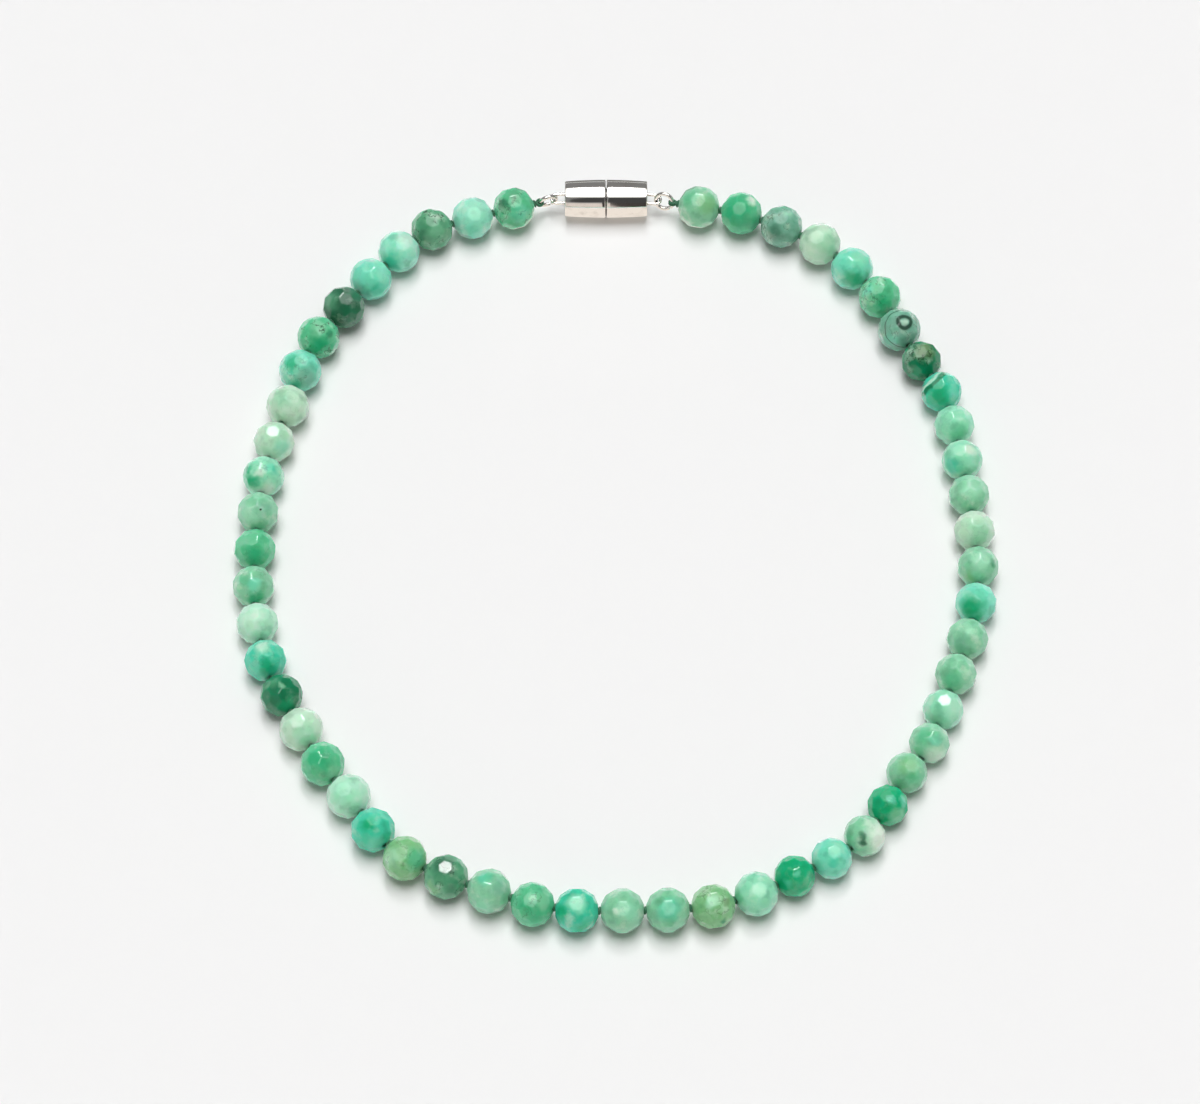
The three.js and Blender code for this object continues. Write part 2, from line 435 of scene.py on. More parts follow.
def new_material(name: str) -> tuple[bpy.types.Material, Graph]:
    """An empty material.

    Args:
        name: The material's name.

    Returns:
        The material and its graph.
    """
    material = bpy.data.materials.new(name)
    material.use_nodes = True
    return material, Graph(material.node_tree)


def finish_surface(graph: Graph, sockets: dict) -> None:
    """Adds the surface shader and the output to a material's graph.

    Args:
        graph: The material's graph.
        sockets: The shader's inputs.
    """
    shader = graph.add("ShaderNodeBsdfPrincipled", {}, sockets)
    graph.add("ShaderNodeOutputMaterial", {}, {"Surface": shader})


@dataclass(frozen=True)
class Mark:
    """A patch of another tone on a bead, or a ring if it has a width; a few pale patches are
    painted highlights of lit facets.

    Lengths are in radii: to the right of and above the bead's middle in the usual view.
    """

    tone: Tone
    right: float
    up: float
    reach: float
    share: float = 0.8
    width: float = 0.0


@dataclass(frozen=True)
class BeadLook:
    """One bead's stone: its main tone, how far its veins show, its patches and rings, a few of
    them painted highlights, and its clouds.
    """

    body: Tone
    veins: float
    patches_and_highlights: tuple[Mark, ...] = ()
    clouds: float = 0.4


@dataclass(frozen=True)
class StoneFinish:
    """Polished, clouded green stone that lets a little light through."""

    cloud_grain: float = 2.6 * MM
    pale_band: tuple[float, float] = (0.5, 0.72)
    shade_band: tuple[float, float] = (0.5, 0.3)
    shade_share: float = 0.3
    vein_grain: float = 1.9 * MM
    vein_band: tuple[float, float] = (0.035, 0.0)
    vein_patches: tuple[float, float] = (0.45, 0.6)
    warp_grain: float = 2.2 * MM
    warp: float = 2.2 * MM
    ring_warp: float = 0.25
    ring_core: float = 0.3
    patch_edge: tuple[float, float] = (1.35, 0.35)
    matt: float = 0.5
    glow_depth: float = 3.6 * MM
    glow_reach: tuple[float, float, float] = (0.55, 1.0, 0.8)
    roundness: float = 0.6
    refraction: float = 1.54
    polish: float = 0.08
    view_elevation: float = 58.5

    def spot(self, mark: Mark, radius: float) -> Vector:
        """Where a mark is on its bead.

        Args:
            mark: The mark.
            radius: The bead's radius.

        Returns:
            The mark's middle, from the middle of the bead.
        """
        elevation = math.radians(self.view_elevation)
        towards = Vector((0, -math.cos(elevation), math.sin(elevation)))
        upwards = Vector((0, math.sin(elevation), math.cos(elevation)))
        depth = math.sqrt(max(0.0, 1 - mark.right**2 - mark.up**2))
        return (Vector((mark.right, 0, 0)) + upwards * mark.up + towards * depth) * radius

    def marked(
        self,
        graph: Graph,
        colour: Socket,
        places: tuple[Socket, Socket],
        mark: Mark,
        radius: float,
    ) -> Socket:
        """Lays a mark over a colour: a stone patch, and on a few beads a painted highlight of a
        lit facet.

        Args:
            graph: The material's graph.
            colour: The colour under the mark.
            places: The place from the bead's middle, as warped for rings and for patches.
            mark: The mark.
            radius: The bead's radius.

        Returns:
            The marked colour.
        """
        steady, warped = places
        middle = self.spot(mark, radius)
        reach, width = mark.reach * radius, mark.width * radius
        if width:
            off = abs(graph.vector("DISTANCE", steady, middle, 1) - reach)
            share = off.step(width, self.ring_core * width)
        else:
            outer, inner = self.patch_edge
            share = graph.vector("DISTANCE", warped, middle, 1).step(outer * reach, inner * reach)
        return graph.blend(share * mark.share, colour, mark.tone.linear)

    def material(
        self, name: str, look: BeadLook, centre: Vector, radius: float
    ) -> bpy.types.Material:
        """Makes one bead's material.

        Args:
            name: The material's name.
            look: The bead's look.
            centre: The bead's middle.
            radius: The bead's radius.

        Returns:
            The material.
        """
        material, graph = new_material(name)
        place = graph.object_place()
        local = graph.add("ShaderNodeMapping", {}, {"Vector": place, "Location": -centre})
        drift = graph.noise(place, self.warp_grain, 2, 1)
        drift = graph.vector("SUBTRACT", drift, (0.5, 0.5, 0.5))
        drift = graph.vector("MULTIPLY", drift, (self.warp,) * 3)
        warped = graph.vector("ADD", local, drift)
        steady = graph.vector("ADD", local, graph.vector("MULTIPLY", drift, (self.ring_warp,) * 3))
        cloud = graph.noise(place, self.cloud_grain, 4)
        pale = cloud.step(*self.pale_band)
        shade = cloud.step(*self.shade_band)
        vein = abs(graph.noise(warped, self.vein_grain, 3) - 0.5).step(*self.vein_band)
        vein = vein * graph.noise(place, self.cloud_grain, 1).step(*self.vein_patches)
        colour = graph.blend(pale * look.clouds, look.body.linear, Tone.CHALK.linear)
        colour = graph.blend(shade * self.shade_share, colour, Tone.DEEP.linear)
        # Stone patches, and on a few beads painted highlights of lit facets.
        for mark in look.patches_and_highlights:
            colour = self.marked(graph, colour, (steady, warped), mark, radius)
        colour = graph.blend(vein * look.veins, colour, Tone.INK.linear)
        facet = graph.add("ShaderNodeNewGeometry", {}, {}, "Normal")
        rounded = graph.vector("NORMALIZE", local, (0, 0, 0))
        flat_part = graph.vector("MULTIPLY", facet, (1 - self.roundness,) * 3)
        round_part = graph.vector("MULTIPLY", rounded, (self.roundness,) * 3)
        softened = graph.vector("NORMALIZE", graph.vector("ADD", flat_part, round_part), (0, 0, 0))
        finish_surface(
            graph,
            {
                "Base Color": colour,
                "Roughness": self.matt,
                "Specular IOR Level": 0.0,
                "Subsurface Weight": 1.0,
                "Subsurface Radius": self.glow_reach,
                "Subsurface Scale": self.glow_depth,
                "Normal": softened,
                "Coat Weight": 1.0,
                "Coat IOR": self.refraction,
                "Coat Roughness": self.polish,
            },
        )
        return material


@dataclass(frozen=True)
class SilverFinish:
    """Mirror-polished silver with fine wear, darkened in its crevices and near other surfaces by
    oxide and by painted shade.
    """

    colour: tuple[float, float, float] = (0.95, 0.94, 0.92)
    tarnish: tuple[float, float, float] = (0.80, 0.77, 0.73)
    tarnish_band: tuple[float, float] = (0.45, 0.75)
    tarnish_share: float = 0.5
    cloud_grain: float = 3.0 * MM
    dull_band: tuple[float, float] = (0.35, 0.7)
    dulling: float = 0.05
    polish: float = 0.04
    scratch_grain: float = 0.25 * MM
    scratch_squeeze: float = 0.12
    scratch_depth: float = 0.004 * MM
    scratch_relief: float = 0.05
    scratch_dulling: float = 0.03
    # Oxide and painted shade: ambient occlusion darkens the silver towards this dark colour in the
    # seam, at the eye roots and near other surfaces.
    oxide_and_shade: tuple[float, float, float] = (0.16, 0.14, 0.13)
    oxide_and_shade_band: tuple[float, float] = (0.8, 0.3)
    crevice: float = 0.5 * MM
    crevice_samples: int = 8

    def material(self) -> bpy.types.Material:
        """Makes the material.

        Returns:
            The material.
        """
        material, graph = new_material("polished_silver")
        place = graph.object_place()
        cloud = graph.noise(place, self.cloud_grain, 3)
        squeeze = {"Vector": place, "Scale": (self.scratch_squeeze, 1, 1)}
        scratch = graph.noise(graph.add("ShaderNodeMapping", {}, squeeze), self.scratch_grain, 3)
        open_air = graph.add(
            "ShaderNodeAmbientOcclusion",
            {"samples": self.crevice_samples},
            {"Distance": self.crevice},
            "AO",
        )
        worn = cloud.step(*self.tarnish_band) * self.tarnish_share
        colour = graph.blend(worn, linear(self.colour), linear(self.tarnish))
        dull = cloud.step(*self.dull_band) * self.dulling + scratch * self.scratch_dulling
        finish_surface(
            graph,
            {
                # Partly real oxide and partly painted shade, laid where ambient occlusion finds
                # the silver hemmed in.
                "Base Color": graph.blend(
                    open_air.step(*self.oxide_and_shade_band), colour, linear(self.oxide_and_shade)
                ),
                "Metallic": 1.0,
                "Roughness": dull + self.polish,
                "Normal": graph.relief(scratch, self.scratch_relief, self.scratch_depth),
            },
        )
        return material


@dataclass(frozen=True)
class SilkFinish:
    """Twisted dark green silk."""

    dark: tuple[float, float, float] = (0.03, 0.27, 0.16)
    light: tuple[float, float, float] = (0.16, 0.55, 0.37)
    strand: float = 0.16 * MM
    strands_a_wave: float = 0.3
    strand_waver: float = 1.5
    strand_depth: float = 0.04 * MM
    strand_relief: float = 0.5
    slant: tuple[float, float, float] = (0.5, 0.4, 0.7)
    fibre: float = 0.05 * MM
    fibre_depth: float = 0.4
    ply_share: float = 0.6
    fibre_share: float = 0.3
    matt: float = 0.55
    matt_spread: float = 0.2
    sheen: float = 0.3

    def material(self) -> bpy.types.Material:
        """Makes the material.

        Returns:
            The material.
        """
        material, graph = new_material("green_silk")
        place = graph.object_place()
        slanted = graph.add("ShaderNodeMapping", {}, {"Vector": place, "Rotation": self.slant})
        wave = {
            "Vector": slanted,
            "Scale": self.strands_a_wave / self.strand,
            "Distortion": self.strand_waver,
        }
        plies = graph.add("ShaderNodeTexWave", {}, wave, "Fac")
        fibre = graph.noise(slanted, self.fibre, 2)
        share = plies * self.ply_share + fibre * self.fibre_share
        height = plies + fibre * self.fibre_depth
        finish_surface(
            graph,
            {
                "Base Color": graph.blend(share, linear(self.dark), linear(self.light)),
                "Roughness": fibre * self.matt_spread + self.matt,
                "Sheen Weight": self.sheen,
                "Normal": graph.relief(height, self.strand_relief, self.strand_depth),
            },
        )
        return material


@dataclass(frozen=True)
class Stretch:
    """A run of like beads. Diameter and gap are shares of the usual ones."""

    beads: int
    diameter: float
    gap: float


@dataclass(frozen=True)
class FacetRow:
    """Facets round the bead at one latitude, turned from straight down by a share of a facet."""

    latitude: float
    facets: int
    turn: float


@dataclass
class BeadPlace:
    """Where one bead lies. Beads are numbered from the clasp's left end round the loop."""

    number: int
    side: Side
    centre: Vector
    along: Vector
    diameter: float
    turn: float


@dataclass
class Route:
    """The closed curve that the thread follows, through listed points, in millimetres."""

    length: float
    start: Vector
    steps: int = 4000
    reach: float = 0.0001
    points: tuple[tuple[float, float], ...] = (
        (-1.6, 79.1), (-9.7, 79.1), (-20.0, 76.4), (-35.8, 71.4), (-42.5, 65.7), (-57.5, 45.3),
        (-62.8, 29.1), (-66.7, 13.2), (-67.5, -10.7), (-64.3, -27.7), (-61.2, -34.2),
        (-53.6, -47.9), (-47.9, -55.6), (-38.0, -67.6), (-14.6, -77.0), (-6.4, -78.1),
        (17.8, -77.2), (32.7, -70.8), (45.0, -62.9), (53.5, -49.3), (57.5, -43.6),
        (65.4, -21.5), (68.0, -6.1), (66.1, 17.4), (62.9, 32.9), (55.5, 46.8), (51.3, 55.7),
        (40.4, 67.8), (24.7, 75.4), (16.6, 76.8), (6.5, 79.1),
    )

    def __post_init__(self) -> None:
        """Measures the curve, then scales and shifts it to its length and its start."""
        self.scale, self.shift = MM, Vector()
        patches_and_highlights = [self._at(i / self.steps) for i in range(self.steps + 1)]
        self.measured = [0.0]
        for here, there in zip(patches_and_highlights, patches_and_highlights[1:]):
            self.measured.append(self.measured[-1] + (there - here).length)
        self.grown = self.length / self.measured[-1]
        self.scale *= self.grown
        self.shift = self.start - self._at(0)

    def _at(self, share: float) -> Vector:
        """Rounds the points off into a smooth curve.

        Args:
            share: How far along the list of points, from 0 to 1.

        Returns:
            The curve's point there.
        """
        count = len(self.points)
        index, t = divmod(share * count, 1)
        before, here, there, after = (
            Vector((*self.points[(int(index) + k) % count], 0)) for k in (-1, 0, 1, 2)
        )
        leave, arrive = (there - before) / 2, (after - here) / 2
        bend = here * (2 * t**3 - 3 * t**2 + 1) + leave * (t**3 - 2 * t**2 + t)
        bend += there * (3 * t**2 - 2 * t**3) + arrive * (t**3 - t**2)
        return bend * self.scale + self.shift

    def _share(self, distance: float) -> float:
        """Turns a length of thread into a share of the list of points.

        Args:
            distance: The distance along the thread from the clasp's seam.

        Returns:
            The share, from 0 to 1.
        """
        wanted = (distance / self.grown) % self.measured[-1]
        index = min(bisect_right(self.measured, wanted) - 1, self.steps - 1)
        step = self.measured[index + 1] - self.measured[index]
        return (index + (wanted - self.measured[index]) / step) / self.steps

    def point(self, distance: float) -> Vector:
        """The point at a distance along the thread from the clasp's seam."""
        return self._at(self._share(distance))

    def along(self, distance: float) -> Vector:
        """Which way the thread runs.

        Args:
            distance: The distance along the thread from the clasp's seam.

        Returns:
            The thread's direction there.
        """
        share = self._share(distance)
        ahead, behind = (share + self.reach) % 1, (share - self.reach) % 1
        return (self._at(ahead) - self._at(behind)).normalized()


@dataclass(frozen=True)
class ClaspSizes:
    """The barrel clasp's sizes, with those of its eyes and of its split rings."""

    length: float = 16.2 * MM
    seam_diameter: float = 7.45 * MM
    end_diameter: float = 6.85 * MM
    seam_gap: float = 0.2 * MM
    edge: float = 0.2 * MM
    spigot_diameter: float = 4.0 * MM
    spigot_length: float = 1.6 * MM
    spigot_clearance: float = 0.2 * MM
    eye_length: float = 3.0 * MM
    eye_width: float = 2.8 * MM
    eye_wire: float = 0.65 * MM
    eye_root: float = 0.6 * MM
    eye_turn: dict = field(default_factory=lambda: {Side.LEFT: 2.0, Side.RIGHT: 10.0})
    ring_diameter: float = 4.2 * MM
    ring_wire: float = 0.8 * MM
    ring_clearance: float = 0.2 * MM

    @property
    def ring_mean(self) -> float:
        """The radius of the middle of a ring's wire."""
        return (self.ring_diameter - self.ring_wire) / 2

    @property
    def hook_reach(self) -> float:
        """From a half's end to where the ring's wire lies in its eye."""
        return self.eye_length - self.eye_wire - self.ring_clearance - self.ring_wire / 2

    @property
    def seam(self) -> Vector:
        """The seam's middle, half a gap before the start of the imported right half."""
        low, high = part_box("clasp_half_right")
        return Vector((low.x - self.seam_gap / 2, (low.y + high.y) / 2, self.seam_diameter / 2))

    def hook(self, side: Side) -> Vector:
        """Where a ring's wire lies in its eye.

        Args:
            side: The side of the loop.

        Returns:
            The middle of the wire there.
        """
        reach = Vector((-side.value * self.hook_reach, 0, 0))
        reach.rotate(Matrix.Rotation(math.radians(side.value * self.eye_turn[side]), 3, "Z"))
        return reach + Vector((-side.value * self.length / 2, 0, 0)) + self.seam


@dataclass
class Stringing:
    """How the beads are strung: their sizes and gaps from the clasp on, and how each is turned."""

    clasp: ClaspSizes
    bead_diameter: float = 8.0 * MM
    bead_gap: float = 0.36 * MM
    flat_share: float = 0.972
    turn_step: float = 14.8
    turn_least: float = 6.0
    girdle_facets: int = 10
    loop_thread: float = 0.5 * MM
    loop_clearance: float = 0.2 * MM
    loop_stem: float = 0.15 * MM
    stretches: dict = field(
        default_factory=lambda: {
            Side.LEFT: (
                Stretch(9, 1.01, 1.0),
                Stretch(8, 0.965, 1.15),
                Stretch(7, 1.0, 0.9),
                Stretch(3, 0.99, 0.65),
            ),
            Side.RIGHT: (
                Stretch(7, 1.02, 1.0),
                Stretch(10, 0.955, 0.9),
                Stretch(7, 0.925, 0.7),
                Stretch(3, 0.99, 0.65),
            ),
        }
    )
    flat_beads: dict = field(
        default_factory=lambda: {Side.LEFT: (10, 23), Side.RIGHT: (18,)}
    )
    facet_rows: tuple[FacetRow, ...] = (
        FacetRow(31, 10, 0.5), FacetRow(61, 6, 0.2), FacetRow(90, 1, 0)
    )

    def __post_init__(self) -> None:
        """Lays the beads of both sides along the route."""
        self.loop_mean = self.clasp.ring_wire / 2 + self.loop_clearance + self.loop_thread / 2
        link = self.clasp.hook_reach + 2 * self.clasp.ring_mean + self.loop_mean
        self.first = self.clasp.length / 2 + link + self.loop_thread / 2 + self.loop_stem
        strung = {side: self._strung(side) for side in Side}
        self.length = sum(end for _, end in strung.values())
        self.route = Route(self.length, Vector((*self.clasp.seam.xy, 0)))
        self.total = sum(len(beads) for beads, _ in strung.values())
        self.beads = {side: self._laid(side, strung[side][0]) for side in Side}

    def _strung(self, side: Side) -> tuple[list[tuple[float, float, float]], float]:
        """Works out how one side is strung.

        Args:
            side: The side of the loop.

        Returns:
            Each bead's distance from the seam, diameter and turn, and where the side ends.
        """
        sizes = [
            (run.diameter * self.bead_diameter, run.gap * self.bead_gap)
            for run in self.stretches[side]
            for _ in range(run.beads)
        ]
        beads, start = [], self.first
        for i, (diameter, gap) in enumerate(sizes):
            next_gap = sizes[min(i + 1, len(sizes) - 1)][1]
            turn_range = 360 / self.girdle_facets - 2 * self.turn_least
            turn = self.turn_least + self.turn_step * (i + 1) % turn_range
            flat = i + 1 in self.flat_beads[side]
            beads.append((start + diameter / 2, diameter, 0.0 if flat else turn))
            start += diameter + (gap + next_gap) / 2
        return beads, start - sizes[-1][1] / 2

    def _laid(self, side: Side, strung: list[tuple[float, float, float]]) -> list[BeadPlace]:
        """Puts one side's beads on the route. Their heights come later, from their facets.

        Args:
            side: The side of the loop.
            strung: Each bead's distance from the seam, diameter and turn.

        Returns:
            The beads in order from the clasp.
        """
        return [
            BeadPlace(
                i + 1 if side is Side.LEFT else self.total - i,
                side,
                self.route.point(side.value * at),
                self.route.along(side.value * at),
                diameter,
                turn,
            )
            for i, (at, diameter, turn) in enumerate(strung)
        ]

    def facets(self) -> list[Vector]:
        """Faces a bead's facets round its drill hole, which runs along X.

        Returns:
            The facets' directions.
        """
        rows = [FacetRow(0, self.girdle_facets, 0), *self.facet_rows]
        rows += [FacetRow(-row.latitude, row.facets, row.turn) for row in self.facet_rows]
        directions = []
        for row in rows:
            out, off = math.sin(math.radians(row.latitude)), math.cos(math.radians(row.latitude))
            for i in range(row.facets):
                around = 2 * math.pi * (i + row.turn) / row.facets
                directions.append(Vector((out, off * math.sin(around), -off * math.cos(around))))
        return directions


@dataclass
class Beads:
    """The faceted beads: one is cut, and all are copies of it."""

    stringing: Stringing
    looks: tuple[BeadLook, ...]
    block: float = 3.0
    hole_diameter: float = 0.9 * MM
    hole_sides: int = 20
    arris: float = 0.16 * MM
    arris_segments: int = 2
    arris_angle: float = 17.0
    finish: StoneFinish = StoneFinish()

    def cut_master(self) -> bpy.types.Object:
        """Cuts one bead out of a block, facet by facet, and drills and softens it.

        Returns:
            The bead at the origin, with its hole along X.
        """
        radius = self.stringing.flat_share * self.stringing.bead_diameter / 2
        deselect_all()
        bpy.ops.mesh.primitive_cube_add(size=self.block * radius)
        bead = named("bead_master")
        with editing(bead):
            for facing in self.stringing.facets():
                bpy.ops.mesh.select_all(action="SELECT")
                bpy.ops.mesh.bisect(
                    plane_co=facing * radius, plane_no=facing, use_fill=True, clear_outer=True
                )
        deselect_all()
        bpy.ops.mesh.primitive_cylinder_add(
            vertices=self.hole_sides,
            radius=self.hole_diameter / 2,
            depth=self.block * radius,
            rotation=FACING_X,
        )
        cut_by(bead, named("drill"), "DIFFERENCE")
        with editing(bead):
            bpy.ops.mesh.select_all(action="DESELECT")
            bpy.ops.mesh.edges_select_sharp(sharpness=math.radians(self.arris_angle))
            bpy.ops.mesh.bevel(offset=self.arris, segments=self.arris_segments, affect="EDGES")
        return cleaned(bead)

    def build(self) -> list[bpy.types.Object]:
        """Makes and dresses all the beads.

        Returns:
            The beads.
        """
        master = self.cut_master()
        pieces = []
        for side in Side:
            for bead in self.stringing.beads[side]:
                share = bead.diameter / self.stringing.bead_diameter
                turned = frame_at(Vector(), bead.along) @ turn_x(bead.turn)
                turned = turned @ Matrix.Scale(share, 4)
                lowest = min((turned @ vertex.co).z for vertex in master.data.vertices)
                bead.centre.z = -lowest
                place = Matrix.Translation(bead.centre) @ turned
                name = f"bead_{bead.number:02d}"
                piece = copied(master, name, place)
                look = self.looks[bead.number - 1]
                material = self.finish.material(name, look, bead.centre, bead.diameter / 2)
                piece.data.materials.append(material)
                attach(piece, FRAME_BODY)
                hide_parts(f"bead_string_{side.word}")
                pieces.append(piece)
        bpy.data.objects.remove(master)
        return pieces


@dataclass
class Silk:
    """The thread of each side, with a knot between beads and a loop round the split ring."""

    stringing: Stringing
    thread_diameter: float = 0.7 * MM
    thread_sides: int = 3
    knot_diameter: float = 1.65 * MM
    knot_length: float = 0.62 * MM
    knot_strand: float = 0.34 * MM
    knot_points: int = 40
    loop_strand: float = 0.42 * MM
    loop_spread: float = 0.2 * MM
    loop_slack: float = 0.03 * MM
    loop_steps: int = 32
    loop_sides: int = 10
    finish: SilkFinish = SilkFinish()

    def tube(
        self, name: str, points: Sequence[Vector], diameter: float, closed: bool
    ) -> bpy.types.Object:
        """A round strand through points, as a mesh.

        Args:
            name: The piece's name.
            points: The points that it follows.
            diameter: The strand's diameter.
            closed: Whether its ends meet.

        Returns:
            The strand.
        """
        curve = bpy.data.curves.new(name, "CURVE")
        curve.dimensions = "3D"
        curve.bevel_depth = diameter / 2
        curve.bevel_resolution = self.thread_sides
        curve.use_fill_caps = True
        spline = curve.splines.new("POLY")
        spline.points.add(len(points) - 1)
        for knot, point in zip(spline.points, points):
            knot.co = (*point, 1)
        spline.use_cyclic_u = closed
        strand = bpy.data.objects.new(name, curve)
        bpy.context.scene.collection.objects.link(strand)
        pick(strand)
        bpy.ops.object.convert(target="MESH")
        return named(name)

    def knot_master(self) -> bpy.types.Object:
        """One overhand knot, drawn tight, with the thread along X.

        Returns:
            The knot at the origin.
        """
        # The strand's middle is at most three of these from the knot's axis.
        reach = (self.knot_diameter - self.knot_strand) / 2 / 3
        depth = (self.knot_length - self.knot_strand) / 2
        points = []
        for i in range(self.knot_points):
            t = 2 * math.pi * i / self.knot_points
            out = reach * (2 + math.cos(3 * t))
            across, up = out * math.cos(2 * t), out * math.sin(2 * t)
            points.append(Vector((depth * math.sin(3 * t), across, up)))
        return self.tube("knot_master", points, self.knot_strand, True)

    def build_side(self, side: Side, knot: bpy.types.Object) -> bpy.types.Object:
        """Makes and dresses one side's thread.

        Args:
            side: The side of the loop.
            knot: The knot to copy.

        Returns:
            The thread with its knots and its loop.
        """
        clasp, beads = self.stringing.clasp, self.stringing.beads[side]
        hook = clasp.hook(side)
        towards = (beads[0].centre - hook).normalized()
        ring_end = hook + towards * 2 * clasp.ring_mean
        loop = SplitRing(clasp, side).frame(ring_end, towards)
        loop_mean = (clasp.ring_wire + self.loop_strand) / 2 + self.loop_slack
        pieces = []
        for share in (-1, 1):
            deselect_all()
            bpy.ops.mesh.primitive_torus_add(
                major_radius=loop_mean,
                minor_radius=self.loop_strand / 2,
                major_segments=self.loop_steps,
                minor_segments=self.loop_sides,
            )
            turn = named(f"silk_turn_{side.word}")
            turn.matrix_world = loop @ Matrix.Translation((0, 0, share * self.loop_spread))
            pieces.append(settle(turn))
        start = ring_end + towards * loop_mean
        centres = [bead.centre for bead in beads]
        if side is Side.LEFT:
            centres.append(self.stringing.beads[Side.RIGHT][-1].centre)
        pieces.append(self.tube("silk_core", [start, *centres], self.thread_diameter, False))
        gaps = list(zip(centres, centres[1:]))
        for index, (here, there) in enumerate(gaps):
            middle = self.between(side, index, here, there)
            pieces.append(copied(knot, "silk_knot", frame_at(middle, there - here)))
        surface = centres[0] - towards * self.stringing.flat_share * beads[0].diameter / 2
        first = surface - towards * self.knot_length / 2
        pieces.append(copied(knot, "silk_knot", frame_at(first, towards)))
        silk = welded(pieces, f"silk_{side.word}")
        pick(silk)
        bpy.ops.object.shade_smooth()
        silk.data.materials.clear()
        silk.data.materials.append(self.finish.material())
        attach(silk, FRAME_BODY)
        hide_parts(f"bead_string_{side.word}")
        return silk

    def between(self, side: Side, index: int, here: Vector, there: Vector) -> Vector:
        """The middle of the gap between two beads.

        Args:
            side: The side of the loop.
            index: The first bead's place in its string, from the clasp.
            here: The first bead's middle.
            there: The second bead's middle.

        Returns:
            The middle of the gap.
        """
        beads = self.stringing.beads[side]
        others = beads + self.stringing.beads[Side.RIGHT][-1:]
        excess = (beads[index].diameter - others[index + 1].diameter) / 4
        return (here + there) / 2 + (there - here).normalized() * excess

    def build(self) -> list[bpy.types.Object]:
        """Makes both sides' threads.

        Returns:
            The threads.
        """
        knot = self.knot_master()
        pieces = [self.build_side(side, knot) for side in Side]
        bpy.data.objects.remove(knot)
        return pieces


@dataclass
class SplitRing:
    """A jump ring between an eye and its string, cut once."""

    clasp: ClaspSizes
    side: Side
    steps: int = 64
    wire_sides: int = 16
    edge: float = 0.06 * MM
    edge_segments: int = 2
    edge_angle: float = 60.0
    roll: dict = field(default_factory=lambda: {Side.LEFT: 101.5, Side.RIGHT: 67.5})
    split_at: dict = field(default_factory=lambda: {Side.LEFT: -115.0, Side.RIGHT: -42.0})
    split: dict = field(default_factory=lambda: {Side.LEFT: 8.0, Side.RIGHT: 14.0})
    offset: dict = field(default_factory=lambda: {Side.LEFT: 0.0, Side.RIGHT: 0.35 * MM})

    def frame(self, place: Vector, towards: Vector) -> Matrix:
        """The ring's frame, with its opening along Y.

        Args:
            place: Its origin.
            towards: The direction of the first bead.

        Returns:
            The frame.
        """
        lean = (self.roll[self.side] - 90) * math.copysign(1, towards.x)
        return frame_at(place, towards) @ turn_x(lean)

    def build(self, towards: Vector, finish: bpy.types.Material) -> bpy.types.Object:
        """Makes and dresses the ring.

        Args:
            towards: The direction of the first bead from the hook.
            finish: The silver.

        Returns:
            The ring.
        """
        start = math.radians(self.split_at[self.side] + self.split[self.side] / 2)
        sweep = math.radians(360 - self.split[self.side])
        mean = self.clasp.ring_mean
        name = f"split_ring_{self.side.word}"
        ring = round_blank(name, self.wire_sides, self.clasp.ring_wire / 2, (mean, 0, 0))
        with editing(ring):
            bpy.ops.mesh.spin(steps=self.steps, angle=sweep, center=(0, 0, 0), axis=(0, 1, 0))
        settle(ring)
        cleaned(ring)
        self.lay_open(ring, sweep)
        with editing(ring):
            bpy.ops.mesh.select_all(action="DESELECT")
            bpy.ops.mesh.edges_select_sharp(sharpness=math.radians(self.edge_angle))
            bpy.ops.mesh.bevel(offset=self.edge, segments=self.edge_segments, affect="EDGES")
        opening = Matrix.Rotation(-start, 4, "Y")
        place = self.frame(self.clasp.hook(self.side) + towards * mean, towards)
        ring.matrix_world = place @ opening
        settle(ring)
        bpy.ops.object.shade_smooth_by_angle(angle=SMOOTH_ANGLE)
        ring.data.materials.append(finish)
        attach(ring, FRAME_BODY)
        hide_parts(f"jump_ring_{self.side.word}")
        return ring

    def lay_open(self, ring: bpy.types.Object, sweep: float) -> None:
        """Draws the ring's cut ends past each other, evenly round the ring.

        Args:
            ring: The ring about the origin, in its XZ plane.
            sweep: How far round the wire goes.
        """
        for vertex in ring.data.vertices:
            angle = math.atan2(vertex.co.z, vertex.co.x) % (2 * math.pi)
            vertex.co.y += self.offset[self.side] * (angle / sweep - 0.5)


